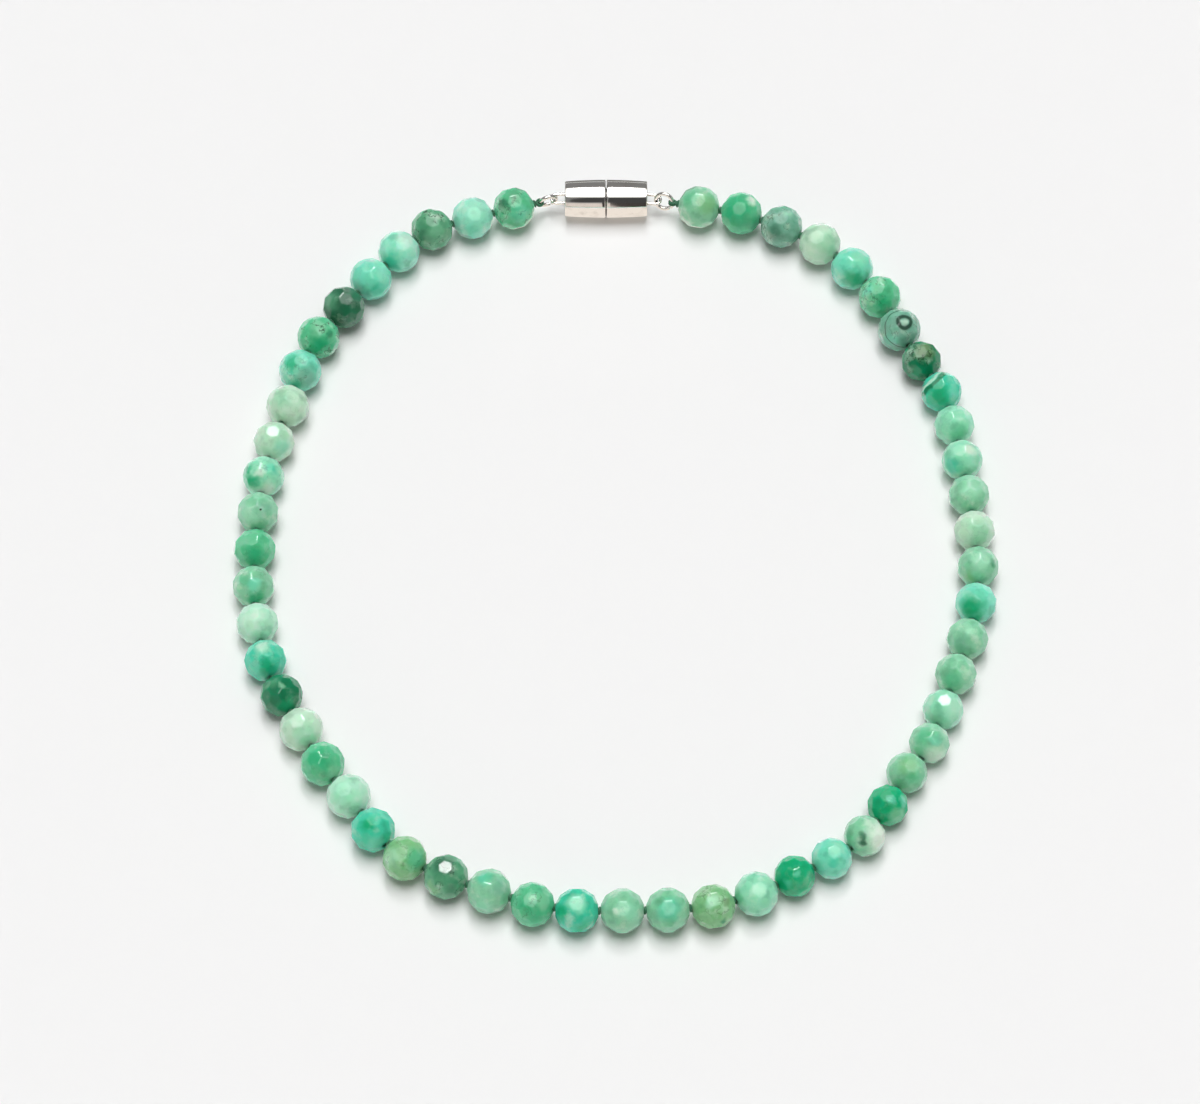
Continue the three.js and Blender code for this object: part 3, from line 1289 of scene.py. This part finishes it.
@dataclass
class Clasp:
    """The barrel clasp in two halves, each with its wire eye soldered on."""

    sizes: ClaspSizes
    sides: int = 72
    rows: int = 14
    edge_rows: int = 4
    wire_sides: int = 16
    bend_steps: int = 18

    def profile(self, side: Side) -> list[tuple[float, float]]:
        """Distance from the seam and radius, from a half's inner middle to its outer end.

        Args:
            side: The left half has the spigot, and the right one the socket.

        Returns:
            The points in order.
        """
        s = self.sizes
        half, face = s.length / 2, s.seam_gap / 2
        if side is Side.LEFT:
            depth = -s.spigot_length
            fitting = s.spigot_diameter / 2
        else:
            depth = s.spigot_length + s.spigot_clearance - s.seam_gap
            fitting = s.spigot_diameter / 2 + s.spigot_clearance
        inner = [(face + depth, fitting), (face, fitting)]
        turns = [math.pi / 2 * i / self.edge_rows for i in range(self.edge_rows + 1)]
        bends = [(s.edge * (1 - math.cos(turn)), s.edge * (1 - math.sin(turn))) for turn in turns]
        near = [(face + along, self.radius(face) - inwards) for along, inwards in bends]
        far = [(half - along, self.radius(half) - inwards) for along, inwards in reversed(bends)]
        run = half - face - 2 * s.edge
        places = [face + s.edge + run * i / self.rows for i in range(1, self.rows)]
        return inner + near + [(x, self.radius(x)) for x in places] + far

    def radius(self, x: float) -> float:
        """Narrows the barrel towards its ends.

        Args:
            x: The distance from the seam.

        Returns:
            The barrel's radius there.
        """
        s = self.sizes
        narrowing = (s.seam_diameter - s.end_diameter) * (x / (s.length / 2)) ** 2
        return (s.seam_diameter - narrowing) / 2

    def barrel(self, side: Side) -> bpy.types.Object:
        """Draws one half out of a disc, along +X from the seam.

        Args:
            side: Which half.

        Returns:
            The half without its eye.
        """
        (x, radius), *others = self.profile(side)
        name = f"clasp_barrel_{side.word}"
        half = settle(round_blank(name, self.sides, radius, (x, 0, 0), FACING_X))
        with editing(half):
            for next_x, next_radius in others:
                onwards = {"value": (next_x - x, 0, 0)}
                bpy.ops.mesh.extrude_region_move(TRANSFORM_OT_translate=onwards)
                growth = next_radius / radius
                bpy.ops.transform.resize(value=(1, growth, growth), center_override=(next_x, 0, 0))
                x, radius = next_x, next_radius
        return cleaned(half)

    def eye(self, side: Side) -> bpy.types.Object:
        """Bends the U of wire at the outer end of a half that points along +X.

        Args:
            side: Which half.

        Returns:
            The eye.
        """
        s = self.sizes
        mean = (s.eye_width - s.eye_wire) / 2
        leg = s.eye_root + s.eye_length - s.eye_wire / 2 - mean
        root = s.length / 2 - s.eye_root
        name, start = f"clasp_eye_{side.word}", (root, -mean, 0)
        wire = settle(round_blank(name, self.wire_sides, s.eye_wire / 2, start, FACING_X))
        with editing(wire):
            bpy.ops.mesh.extrude_region_move(TRANSFORM_OT_translate={"value": (leg, 0, 0)})
            bpy.ops.mesh.spin(
                steps=self.bend_steps, angle=-math.pi, center=(root + leg, 0, 0), axis=(0, 0, 1)
            )
            bpy.ops.mesh.extrude_region_move(TRANSFORM_OT_translate={"value": (-leg, 0, 0)})
        end = Matrix.Translation((s.length / 2, 0, 0))
        lean = math.radians(side.value * s.eye_turn[side])
        wire.matrix_world = end @ Matrix.Rotation(lean, 4, "Z") @ end.inverted()
        return cleaned(settle(wire))

    def build(self, side: Side, finish: bpy.types.Material) -> bpy.types.Object:
        """Makes and dresses one half.

        Args:
            side: Which half.
            finish: The silver.

        Returns:
            The half with its eye.
        """
        half = self.barrel(side)
        cut_by(half, self.eye(side), "UNION")
        turned = math.pi if side is Side.LEFT else 0.0
        half.matrix_world = Matrix.Translation(self.sizes.seam) @ Matrix.Rotation(turned, 4, "Z")
        settle(half)
        bpy.ops.object.shade_smooth_by_angle(angle=SMOOTH_ANGLE)
        half.data.materials.clear()
        half.data.materials.append(finish)
        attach(half, FRAME_BODY)
        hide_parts(f"clasp_half_{side.word}")
        return half


@dataclass(frozen=True)
class Lamp:
    """A round, soft-edged light in the sky behind the necklace. Angles are in degrees."""

    strength: float
    elevation: float
    reach: float
    full: float


@dataclass(frozen=True)
class Face:
    """A lamp's front as mirrors see it, with the brightness of its rim. Angles are in degrees."""

    name: str
    lamp: Lamp
    rim: float
    distance: float


@dataclass(frozen=True)
class Blob:
    """A part of the dark figure by the camera, placed to the right and up from the camera."""

    right: float
    up: float
    half_width: float
    half_height: float
    slant: float


@dataclass(frozen=True)
class Card:
    """A card on the table that only mirrors see, between two distances from the clasp along Y."""

    name: str
    near: float
    far: float
    colour: tuple[float, float, float]


@dataclass
class Studio:
    """A pale table under two soft lamps, what the silver mirrors beside them, and the camera."""

    clasp: ClaspSizes
    floor_width: float = 6.0
    floor_tone: float = 0.95
    floor_grain: float = 2.0 * MM
    floor_flecks: float = 0.02
    floor_matt: float = 0.7
    floor_spread: float = 0.1
    floor_shine: float = 0.1
    backdrop: tuple[float, float, float] = (0.913, 0.913, 0.913)
    room: float = 0.22
    lamps: tuple[Lamp, ...] = (Lamp(6.0, 84.0, 23.0, 15.0), Lamp(16.0, 60.0, 6.5, 5.0))
    faces: tuple[Face, ...] = (
        Face("soft_face", Lamp(2.72, 84.0, 36.0, 24.0), 0.22, 20.0),
        Face("bright_face", Lamp(16.0, 60.0, 6.5, 5.0), 2.7, 18.0),
    )
    face_sides: int = 64
    fill: float = 0.55
    fill_height: tuple[float, float] = (0.55, 0.35)
    fill_front: tuple[float, float] = (-0.3, -0.6)
    warm: tuple[float, float, float] = (1.0, 0.90, 0.84)
    figure: float = 0.06
    figure_edge: tuple[float, float] = (1.3, 0.7)
    figure_front: tuple[float, float] = (0.0, 0.2)
    blobs: tuple[Blob, ...] = (
        Blob(0.03, -0.05, 0.18, 0.33, 1.5), Blob(0.20, -0.50, 0.20, 0.58, 0.0)
    )
    cards: tuple[Card, ...] = (
        Card("grey_card", 3.8 * MM, 90.0 * MM, (0.24, 0.24, 0.23)),
        Card("pale_card", -40.0 * MM, -0.4 * MM, (0.95, 0.87, 0.80)),
    )
    card_width: float = 44.0 * MM
    card_height: float = 0.02 * MM
    lens: float = 132.0
    sensor: float = 36.0
    clip: tuple[float, float] = (10.0 * MM, 20.0)
    elevation: float = 58.48
    distance: float = 831.0 * MM
    aim: tuple[float, float] = (-1.2 * MM, -79.6 * MM)

    def floor(self) -> None:
        """Lays the table on which the necklace rests."""
        deselect_all()
        bpy.ops.mesh.primitive_plane_add(size=self.floor_width)
        floor = named("floor")
        material, graph = new_material("pale_floor")
        grain = graph.noise(graph.object_place(), self.floor_grain, 2)
        tone = linear((self.floor_tone,) * 3)
        finish_surface(
            graph,
            {
                "Base Color": graph.blend(grain * self.floor_flecks, tone, WHITE),
                "Roughness": grain * self.floor_spread + self.floor_matt,
                "Specular IOR Level": self.floor_shine,
            },
        )
        floor.data.materials.append(material)

    def lay(self, card: Card) -> None:
        """Lays a card beside the clasp, which gives the silver its edges.

        Args:
            card: The card.
        """
        seam = self.clasp.seam
        deselect_all()
        middle = seam.y + (card.near + card.far) / 2
        bpy.ops.mesh.primitive_plane_add(size=1, location=(seam.x, middle, self.card_height))
        piece = named(card.name)
        piece.scale = (self.card_width, card.far - card.near, 1)
        settle(piece)
        material, graph = new_material(card.name)
        glow = graph.add("ShaderNodeEmission", {}, {"Color": (*card.colour, 1), "Strength": 1.0})
        graph.add("ShaderNodeOutputMaterial", {}, {"Surface": glow})
        piece.data.materials.append(material)
        self.only_mirrored(piece)

    def hang(self, face: Face) -> None:
        """Hangs a lamp's face, wider than the lamp's light, which only mirrors see.

        Args:
            face: The face.
        """
        lamp = face.lamp
        rise = math.radians(lamp.elevation)
        outer, inner = (
            face.distance * math.tan(math.radians(angle)) for angle in (lamp.reach, lamp.full)
        )
        place = (0, face.distance * math.cos(rise), face.distance * math.sin(rise))
        turn = (rise - math.pi / 2, 0, 0)
        piece = round_blank(face.name, self.face_sides, outer, place, turn)
        material, graph = new_material(face.name)
        off = graph.vector("LENGTH", graph.object_place(), (0, 0, 0), 1)
        glow = off.step(outer, inner) * (lamp.strength - face.rim) + face.rim
        shine = graph.add("ShaderNodeEmission", {}, {"Strength": glow})
        graph.add("ShaderNodeOutputMaterial", {}, {"Surface": shine})
        piece.data.materials.append(material)
        self.only_mirrored(piece)

    def only_mirrored(self, piece: bpy.types.Object) -> None:
        """Leaves a piece to be seen in mirrors alone.

        Args:
            piece: The piece.
        """
        piece.visible_camera = False
        piece.visible_diffuse = False
        piece.visible_shadow = False
        piece.visible_transmission = False

    def sky(self) -> None:
        """Lights the scene with the lamps, a dim room and a warm fill from the front."""
        world = bpy.data.worlds.new("studio")
        bpy.context.scene.world = world
        world.use_nodes = True
        graph = Graph(world.node_tree)
        facing = graph.add("ShaderNodeTexCoord", {}, {}, "Generated")
        height = graph.vector("DOT_PRODUCT", facing, (0.0, 0.0, 1.0), 1)
        back = graph.vector("DOT_PRODUCT", facing, (0.0, 1.0, 0.0), 1)
        front = height.step(*self.fill_height) * back.step(*self.fill_front)
        light = front * self.fill + self.room
        for lamp in self.lamps:
            light = light + self.disc(graph, facing, lamp) * lamp.strength
        unseen = 1 - self.silhouette(graph, facing, self.blobs[0])
        for blob in self.blobs[1:]:
            unseen = unseen * (1 - self.silhouette(graph, facing, blob))
        strength = light * unseen + (1 - unseen) * self.figure
        colour = graph.blend(front, WHITE, (*self.warm, 1))
        lit = graph.add("ShaderNodeBackground", {}, {"Color": colour, "Strength": strength})
        plain = graph.add(
            "ShaderNodeBackground", {}, {"Color": (*self.backdrop, 1), "Strength": 1.0}
        )
        seen = graph.add("ShaderNodeLightPath", {}, {}, "Is Camera Ray")
        shown = graph.add("ShaderNodeMixShader", {}, {0: seen, 1: lit, 2: plain})
        graph.add("ShaderNodeOutputWorld", {}, {"Surface": shown})

    def disc(self, graph: Graph, facing: Socket, lamp: Lamp) -> Socket:
        """A lamp's soft-edged disc in the sky.

        Args:
            graph: The sky's graph.
            facing: The direction.
            lamp: The lamp.

        Returns:
            From 0 outside to 1 inside.
        """
        rise = math.radians(lamp.elevation)
        cosine = graph.vector("DOT_PRODUCT", facing, (0.0, math.cos(rise), math.sin(rise)), 1)
        return cosine.step(math.cos(math.radians(lamp.reach)), math.cos(math.radians(lamp.full)))

    def silhouette(self, graph: Graph, facing: Socket, blob: Blob) -> Socket:
        """A part of the dark figure by the camera, which the clasp mirrors.

        Args:
            graph: The sky's graph.
            facing: The direction.
            blob: The part.

        Returns:
            From 0 beside the figure to 1 within it.
        """
        camera = math.radians(self.elevation)
        front = graph.vector("DOT_PRODUCT", facing, (0.0, -math.cos(camera), math.sin(camera)), 1)
        across = graph.vector("DOT_PRODUCT", facing, (1.0, 0.0, 0.0), 1) - blob.right
        upwards = (0.0, math.sin(camera), math.cos(camera))
        rise = graph.vector("DOT_PRODUCT", facing, upwards, 1) - blob.up
        rise = (rise - across * blob.slant) * (1 / blob.half_height)
        across = across * (1 / blob.half_width)
        inside = (across * across + rise * rise).step(*self.figure_edge)
        return inside * front.step(*self.figure_front)

    def camera(self) -> None:
        """Sets the camera at the usual viewing angle."""
        elevation = math.radians(self.elevation)
        back = Vector((0, -math.cos(elevation), math.sin(elevation)))
        aim = Vector((*self.clasp.seam.xy, 0)) + Vector((*self.aim, 0))
        deselect_all()
        bpy.ops.object.camera_add(
            location=aim + back * self.distance, rotation=(math.pi / 2 - elevation, 0, 0)
        )
        camera = bpy.context.active_object
        camera.data.lens = self.lens
        camera.data.sensor_width = self.sensor
        camera.data.clip_start, camera.data.clip_end = self.clip
        bpy.context.scene.camera = camera

    def build(self) -> None:
        """Sets up the studio, with the colours shown as they are."""
        self.camera()
        self.floor()
        for card in self.cards:
            self.lay(card)
        for face in self.faces:
            self.hang(face)
        self.sky()
        bpy.context.scene.view_settings.view_transform = "Standard"
        LOG.info("studio")


# The stones in order from the clasp's left end round the loop, charted one by one.
# On beads 17, 39, 41 and 44, pale patches near the top are painted highlights of lit facets.
BEAD_LOOKS = (
    BeadLook(Tone.LEAF, 0.5, (
        Mark(Tone.DARK, -0.5, 0.1, 0.3),
        Mark(Tone.FERN, 0.0, 0.65, 0.45, 0.7),
        Mark(Tone.AQUA, 0.35, -0.35, 0.5, 0.5),
    )),
    BeadLook(Tone.PALE_AQUA, 0.1, (
        Mark(Tone.PALE_MINT, 0.2, 0.4, 0.6, 0.4),
        Mark(Tone.TURQUOISE, -0.1, -0.7, 0.5, 0.4),
    )),
    BeadLook(Tone.FERN, 0.8, (
        Mark(Tone.DARK, -0.5, -0.35, 0.3, 0.7),
        Mark(Tone.SAGE, 0.3, -0.1, 0.4, 0.5),
    )),
    BeadLook(Tone.PALE_AQUA, 0.0, (
        Mark(Tone.CHALK, 0.35, 0.55, 0.5, 0.5),
        Mark(Tone.TURQUOISE, -0.35, -0.6, 0.6, 0.9),
    )),
    BeadLook(Tone.AQUA, 0.1, (
        Mark(Tone.PALE_AQUA, 0.5, 0.4, 0.5, 0.5),
        Mark(Tone.TURQUOISE, 0.4, -0.6, 0.45, 0.7),
        Mark(Tone.AQUA, -0.4, 0.1, 0.5, 0.6),
    ), 0.25),
    BeadLook(Tone.DARK, 0.5, (
        Mark(Tone.FERN, -0.6, 0.3, 0.5, 0.6),
        Mark(Tone.DEEP, 0.4, -0.4, 0.5, 0.5),
    ), 0.2),
    BeadLook(Tone.LEAF, 0.8, (
        Mark(Tone.EMERALD, 0.3, -0.5, 0.6),
        Mark(Tone.SAGE, 0.0, 0.45, 0.4, 0.6),
        Mark(Tone.DEEP, 0.6, 0.1, 0.2, 0.7),
    )),
    BeadLook(Tone.AQUA, 0.3, (
        Mark(Tone.EMERALD, -0.3, 0.4, 0.45, 0.7),
        Mark(Tone.GREY_SAGE, 0.4, -0.4, 0.65, 0.7),
        Mark(Tone.EMERALD, -0.2, -0.7, 0.35, 0.5),
    )),
    BeadLook(Tone.PALE_SAGE, 0.1, (
        Mark(Tone.SAGE, -0.3, 0.3, 0.5, 0.5),
    )),
    BeadLook(Tone.PALE_SAGE, 0.1, (
        Mark(Tone.SAGE, 0.3, 0.6, 0.6, 0.5),
        Mark(Tone.AQUA, 0.5, -0.3, 0.5, 0.5),
    )),
    BeadLook(Tone.MINT, 0.3, (
        Mark(Tone.EMERALD, -0.55, -0.25, 0.4, 0.9),
        Mark(Tone.EMERALD, -0.7, 0.4, 0.3),
        Mark(Tone.CHALK, 0.2, -0.65, 0.45),
        Mark(Tone.CHALK, -0.1, 0.15, 0.25, 0.7),
        Mark(Tone.TURQUOISE, 0.45, 0.35, 0.35, 0.7),
    )),
    BeadLook(Tone.SAGE, 0.1, (
        Mark(Tone.PALE_MINT, -0.3, -0.1, 0.6, 0.5),
        Mark(Tone.GREY_SAGE, 0.3, 0.2, 0.5, 0.4),
        Mark(Tone.LEAF, 0.1, -0.8, 0.4, 0.5),
        Mark(Tone.INK, 0.2, 0.15, 0.0, 1.0, 0.08),
    )),
    BeadLook(Tone.LEAF, 0.2, (
        Mark(Tone.EMERALD, 0.0, -0.3, 0.6, 0.6),
        Mark(Tone.SAGE, -0.5, 0.4, 0.35, 0.4),
    ), 0.2),
    BeadLook(Tone.SAGE, 0.2, (
        Mark(Tone.EMERALD, 0.15, -0.6, 0.5),
        Mark(Tone.AQUA, 0.1, 0.1, 0.35, 0.7),
        Mark(Tone.FERN, 0.5, 0.6, 0.4, 0.5),
        Mark(Tone.EMERALD, -0.4, 0.3, 0.3, 0.4),
    )),
    BeadLook(Tone.PALE_MINT, 0.0, (
        Mark(Tone.CHALK, -0.2, 0.2, 0.6, 0.4),
    )),
    BeadLook(Tone.TURQUOISE, 0.2, (
        Mark(Tone.CHALK, -0.1, 0.7, 0.4, 0.6),
        Mark(Tone.EMERALD, 0.15, -0.3, 0.45, 0.7),
        Mark(Tone.AQUA, -0.4, -0.4, 0.3, 0.5),
    ), 0.25),
    BeadLook(Tone.DEEP, 0.3, (
        Mark(Tone.EMERALD, 0.3, -0.4, 0.4, 0.5),
        # The FERN and SAGE patches near the top are painted highlights of lit facets.
        Mark(Tone.FERN, -0.4, 0.6, 0.3, 0.5),
        Mark(Tone.SAGE, 0.1, 0.5, 0.2, 0.7),
    ), 0.1),
    BeadLook(Tone.PALE_SAGE, 0.0, (
        Mark(Tone.MINT, 0.3, -0.3, 0.6, 0.4),
    )),
    BeadLook(Tone.LEAF, 0.2, (
        Mark(Tone.EMERALD, -0.2, 0.3, 0.6, 0.6),
        Mark(Tone.SAGE, 0.55, -0.4, 0.4),
        Mark(Tone.FERN, 0.0, -0.4, 0.2, 0.5),
    ), 0.2),
    BeadLook(Tone.PALE_MINT, 0.0, (
        Mark(Tone.MINT, -0.3, 0.2, 0.6, 0.5),
    )),
    BeadLook(Tone.TURQUOISE, 0.1, (
        Mark(Tone.EMERALD, -0.2, 0.3, 0.35, 0.9),
        Mark(Tone.EMERALD, -0.65, 0.1, 0.1),
        Mark(Tone.AQUA, 0.2, -0.6, 0.5, 0.7),
    ), 0.25),
    BeadLook(Tone.MOSS, 0.3, (
        Mark(Tone.PALE_MINT, -0.6, 0.1, 0.5, 0.4),
        Mark(Tone.LEAF, 0.6, 0.0, 0.6, 0.9),
    )),
    BeadLook(Tone.FERN, 0.6, (
        Mark(Tone.DARK, -0.1, 0.65, 0.6, 0.9),
        Mark(Tone.MOSS, -0.6, -0.5, 0.35, 0.7),
        Mark(Tone.DEEP, 0.5, -0.4, 0.5, 0.6),
    )),
    BeadLook(Tone.SAGE, 0.1, (
        Mark(Tone.TURQUOISE, -0.2, 0.7, 0.4, 0.6),
        Mark(Tone.GREY_SAGE, 0.5, 0.2, 0.5, 0.5),
        Mark(Tone.MINT, -0.2, -0.6, 0.4, 0.7),
    )),
    BeadLook(Tone.LEAF, 0.4, (
        Mark(Tone.EMERALD, 0.0, -0.3, 0.7, 0.6),
        Mark(Tone.PALE_MINT, 0.0, 0.4, 0.2),
        Mark(Tone.SAGE, 0.5, 0.2, 0.4, 0.7),
    ), 0.25),
    BeadLook(Tone.TURQUOISE, 0.1, (
        Mark(Tone.PALE_MINT, 0.0, 0.4, 0.5, 0.6),
        Mark(Tone.EMERALD, -0.75, 0.0, 0.4),
        Mark(Tone.EMERALD, 0.3, -0.7, 0.4, 0.7),
    )),
    BeadLook(Tone.SAGE, 0.1, (
        Mark(Tone.CHALK, -0.35, 0.0, 0.18, 0.6),
        Mark(Tone.MINT, 0.3, 0.0, 0.5, 0.6),
    )),
    BeadLook(Tone.SAGE, 0.1, (
        Mark(Tone.TURQUOISE, 0.0, 0.1, 0.6, 0.6),
        Mark(Tone.FERN, -0.35, 0.5, 0.2, 0.6),
    ), 0.25),
    BeadLook(Tone.MOSS, 0.4, (
        Mark(Tone.OLIVE, 0.55, 0.3, 0.25, 0.6),
        Mark(Tone.PALE_MINT, -0.1, 0.25, 0.35, 0.6),
        Mark(Tone.DEEP, 0.4, -0.65, 0.18, 0.7),
    )),
    BeadLook(Tone.MINT, 0.0, (
        Mark(Tone.PALE_MINT, 0.05, 0.25, 0.35),
        Mark(Tone.LEAF, -0.9, -0.1, 0.4, 0.7),
    )),
    BeadLook(Tone.EMERALD, 0.1, (
        Mark(Tone.AQUA, 0.05, 0.2, 0.2, 0.6),
        Mark(Tone.DEEP, 0.85, 0.1, 0.25, 0.6),
        Mark(Tone.TURQUOISE, -0.4, -0.3, 0.25, 0.5),
    ), 0.1),
    BeadLook(Tone.AQUA, 0.0, (
        Mark(Tone.TURQUOISE, 0.05, -0.15, 0.3, 0.7),
        Mark(Tone.MINT, 0.2, 0.6, 0.4, 0.6),
    ), 0.25),
    BeadLook(Tone.SAGE, 0.1, (
        Mark(Tone.CHALK, 0.75, 0.0, 0.85, 1.0),
        Mark(Tone.DARK, -0.2, 0.0, 0.22),
        Mark(Tone.DARK, -0.15, -0.3, 0.22, 0.9),
        Mark(Tone.FERN, -0.8, 0.1, 0.25, 0.6),
    )),
    BeadLook(Tone.EMERALD, 0.2, (
        Mark(Tone.AQUA, 0.15, 0.35, 0.22),
        Mark(Tone.SAGE, 0.5, -0.5, 0.5, 0.55),
        Mark(Tone.AQUA, 0.75, 0.2, 0.3, 0.5),
    ), 0.1),
    BeadLook(Tone.SAGE, 0.1, (
        Mark(Tone.MOSS, 0.0, 0.5, 0.6, 0.7),
        Mark(Tone.LEAF, 0.3, -0.2, 0.4, 0.5),
    )),
    BeadLook(Tone.SAGE, 0.1, (
        Mark(Tone.CHALK, 0.3, -0.65, 0.6, 0.6),
        Mark(Tone.LEAF, -0.3, 0.4, 0.5, 0.7),
        Mark(Tone.AQUA, 0.2, 0.2, 0.3, 0.4),
    )),
    BeadLook(Tone.MINT, 0.0, (
        Mark(Tone.PALE_MINT, 0.5, 0.1, 0.6),
        Mark(Tone.SAGE, -0.5, -0.3, 0.4, 0.6),
    )),
    BeadLook(Tone.SAGE, 0.1, (
        Mark(Tone.LEAF, -0.3, -0.3, 0.55, 0.7),
    )),
    BeadLook(Tone.SAGE, 0.1, (
        Mark(Tone.GREY_SAGE, -0.4, -0.2, 0.5, 0.5),
        # This pale spot near the top is a painted highlight of a lit facet.
        Mark(Tone.PALE_MINT, 0.1, 0.4, 0.3, 0.6),
    )),
    BeadLook(Tone.AQUA, 0.0, (
        Mark(Tone.EMERALD, -0.35, -0.15, 0.65, 0.95),
        Mark(Tone.EMERALD, 0.0, -0.8, 0.35),
    ), 0.25),
    BeadLook(Tone.SAGE, 0.1, (
        # This pale patch near the top is a painted highlight of a lit facet.
        Mark(Tone.PALE_MINT, 0.1, 0.4, 0.5, 0.7),
        Mark(Tone.MOSS, -0.5, -0.6, 0.4),
        Mark(Tone.DEEP, 0.65, 0.15, 0.25, 0.6),
    )),
    BeadLook(Tone.PALE_SAGE, 0.1, (
        Mark(Tone.SAGE, 0.2, -0.2, 0.7, 0.7),
    )),
    BeadLook(Tone.SAGE, 0.1, (
        Mark(Tone.PALE_MINT, 0.1, 0.4, 0.6, 0.7),
        Mark(Tone.LEAF, 0.0, -0.7, 0.3, 0.5),
    )),
    BeadLook(Tone.MINT, 0.0, (
        # This white spot at the top right is a painted highlight of a lit facet.
        Mark(Tone.CHALK, 0.35, 0.55, 0.35),
        Mark(Tone.TURQUOISE, -0.6, -0.3, 0.5),
        Mark(Tone.EMERALD, 0.0, -0.8, 0.25, 0.5),
    ), 0.25),
    BeadLook(Tone.MINT, 0.0, (
        Mark(Tone.LEAF, 0.2, -0.35, 0.45, 0.7),
    )),
    BeadLook(Tone.TURQUOISE, 0.1, (
        Mark(Tone.EMERALD, -0.3, -0.2, 0.6),
        Mark(Tone.DEEP, 0.707, -0.707, 1.78, 0.95, 0.08),
        Mark(Tone.CHALK, 0.707, -0.707, 1.88, 0.6, 0.05),
        Mark(Tone.AQUA, 0.6, 0.0, 0.35, 0.7),
    ), 0.2),
    BeadLook(Tone.DEEP, 0.8, (
        Mark(Tone.OLIVE, 0.1, 0.55, 0.55, 0.9),
        Mark(Tone.EMERALD, -0.3, -0.6, 0.4, 0.5),
    )),
    BeadLook(Tone.GREY_SAGE, 0.4, (
        Mark(Tone.AQUA, -0.4, -0.5, 0.4, 0.5),
        Mark(Tone.CHALK, 0.2, 0.35, 0.2, 0.5),
        Mark(Tone.INK, 0.2, 0.35, 0.31, 0.85, 0.15),
        Mark(Tone.INK, 0.25, 0.05, 1.02, 0.7, 0.05),
        Mark(Tone.DARK, 0.75, 0.4, 0.2, 0.7),
    )),
    BeadLook(Tone.LEAF, 0.5, (
        Mark(Tone.EMERALD, 0.0, -0.3, 0.5, 0.7),
        Mark(Tone.AQUA, -0.6, 0.3, 0.3, 0.6),
    )),
    BeadLook(Tone.AQUA, 0.0, (
        Mark(Tone.EMERALD, -0.05, -0.6, 0.55),
        Mark(Tone.MINT, 0.3, 0.5, 0.5, 0.7),
    )),
    BeadLook(Tone.PALE_SAGE, 0.0, (
        Mark(Tone.SAGE, 0.3, -0.1, 0.6, 0.5),
    )),
    BeadLook(Tone.GREY_SAGE, 0.5, (
        Mark(Tone.DARK, -0.4, -0.4, 0.45, 0.6),
        Mark(Tone.PALE_MINT, 0.3, 0.6, 0.3, 0.5),
    )),
    BeadLook(Tone.LEAF, 0.1, (
        Mark(Tone.EMERALD, -0.3, 0.0, 0.8),
        Mark(Tone.CHALK, 0.5, 0.6, 0.3),
    ), 0.2),
    BeadLook(Tone.SAGE, 0.1, (
        Mark(Tone.MOSS, 0.4, 0.1, 0.6),
        Mark(Tone.LEAF, -0.5, 0.4, 0.4, 0.5),
    )),
)


def main() -> None:
    """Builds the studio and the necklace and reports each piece."""
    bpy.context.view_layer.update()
    sizes = ClaspSizes()
    Studio(sizes).build()
    stringing = Stringing(sizes)
    pieces = [*Beads(stringing, BEAD_LOOKS).build(), *Silk(stringing).build()]
    silver = SilverFinish().material()
    clasp = Clasp(sizes)
    for side in Side:
        pieces.append(clasp.build(side, silver))
        towards = (stringing.beads[side][0].centre - sizes.hook(side)).normalized()
        pieces.append(SplitRing(sizes, side).build(towards, silver))
    for piece in pieces:
        LOG.info("%s: %d faces", piece.name, len(piece.data.polygons))


if __name__ == "__main__":
    logging.basicConfig(level=logging.INFO, format="%(name)s: %(message)s")
    main()
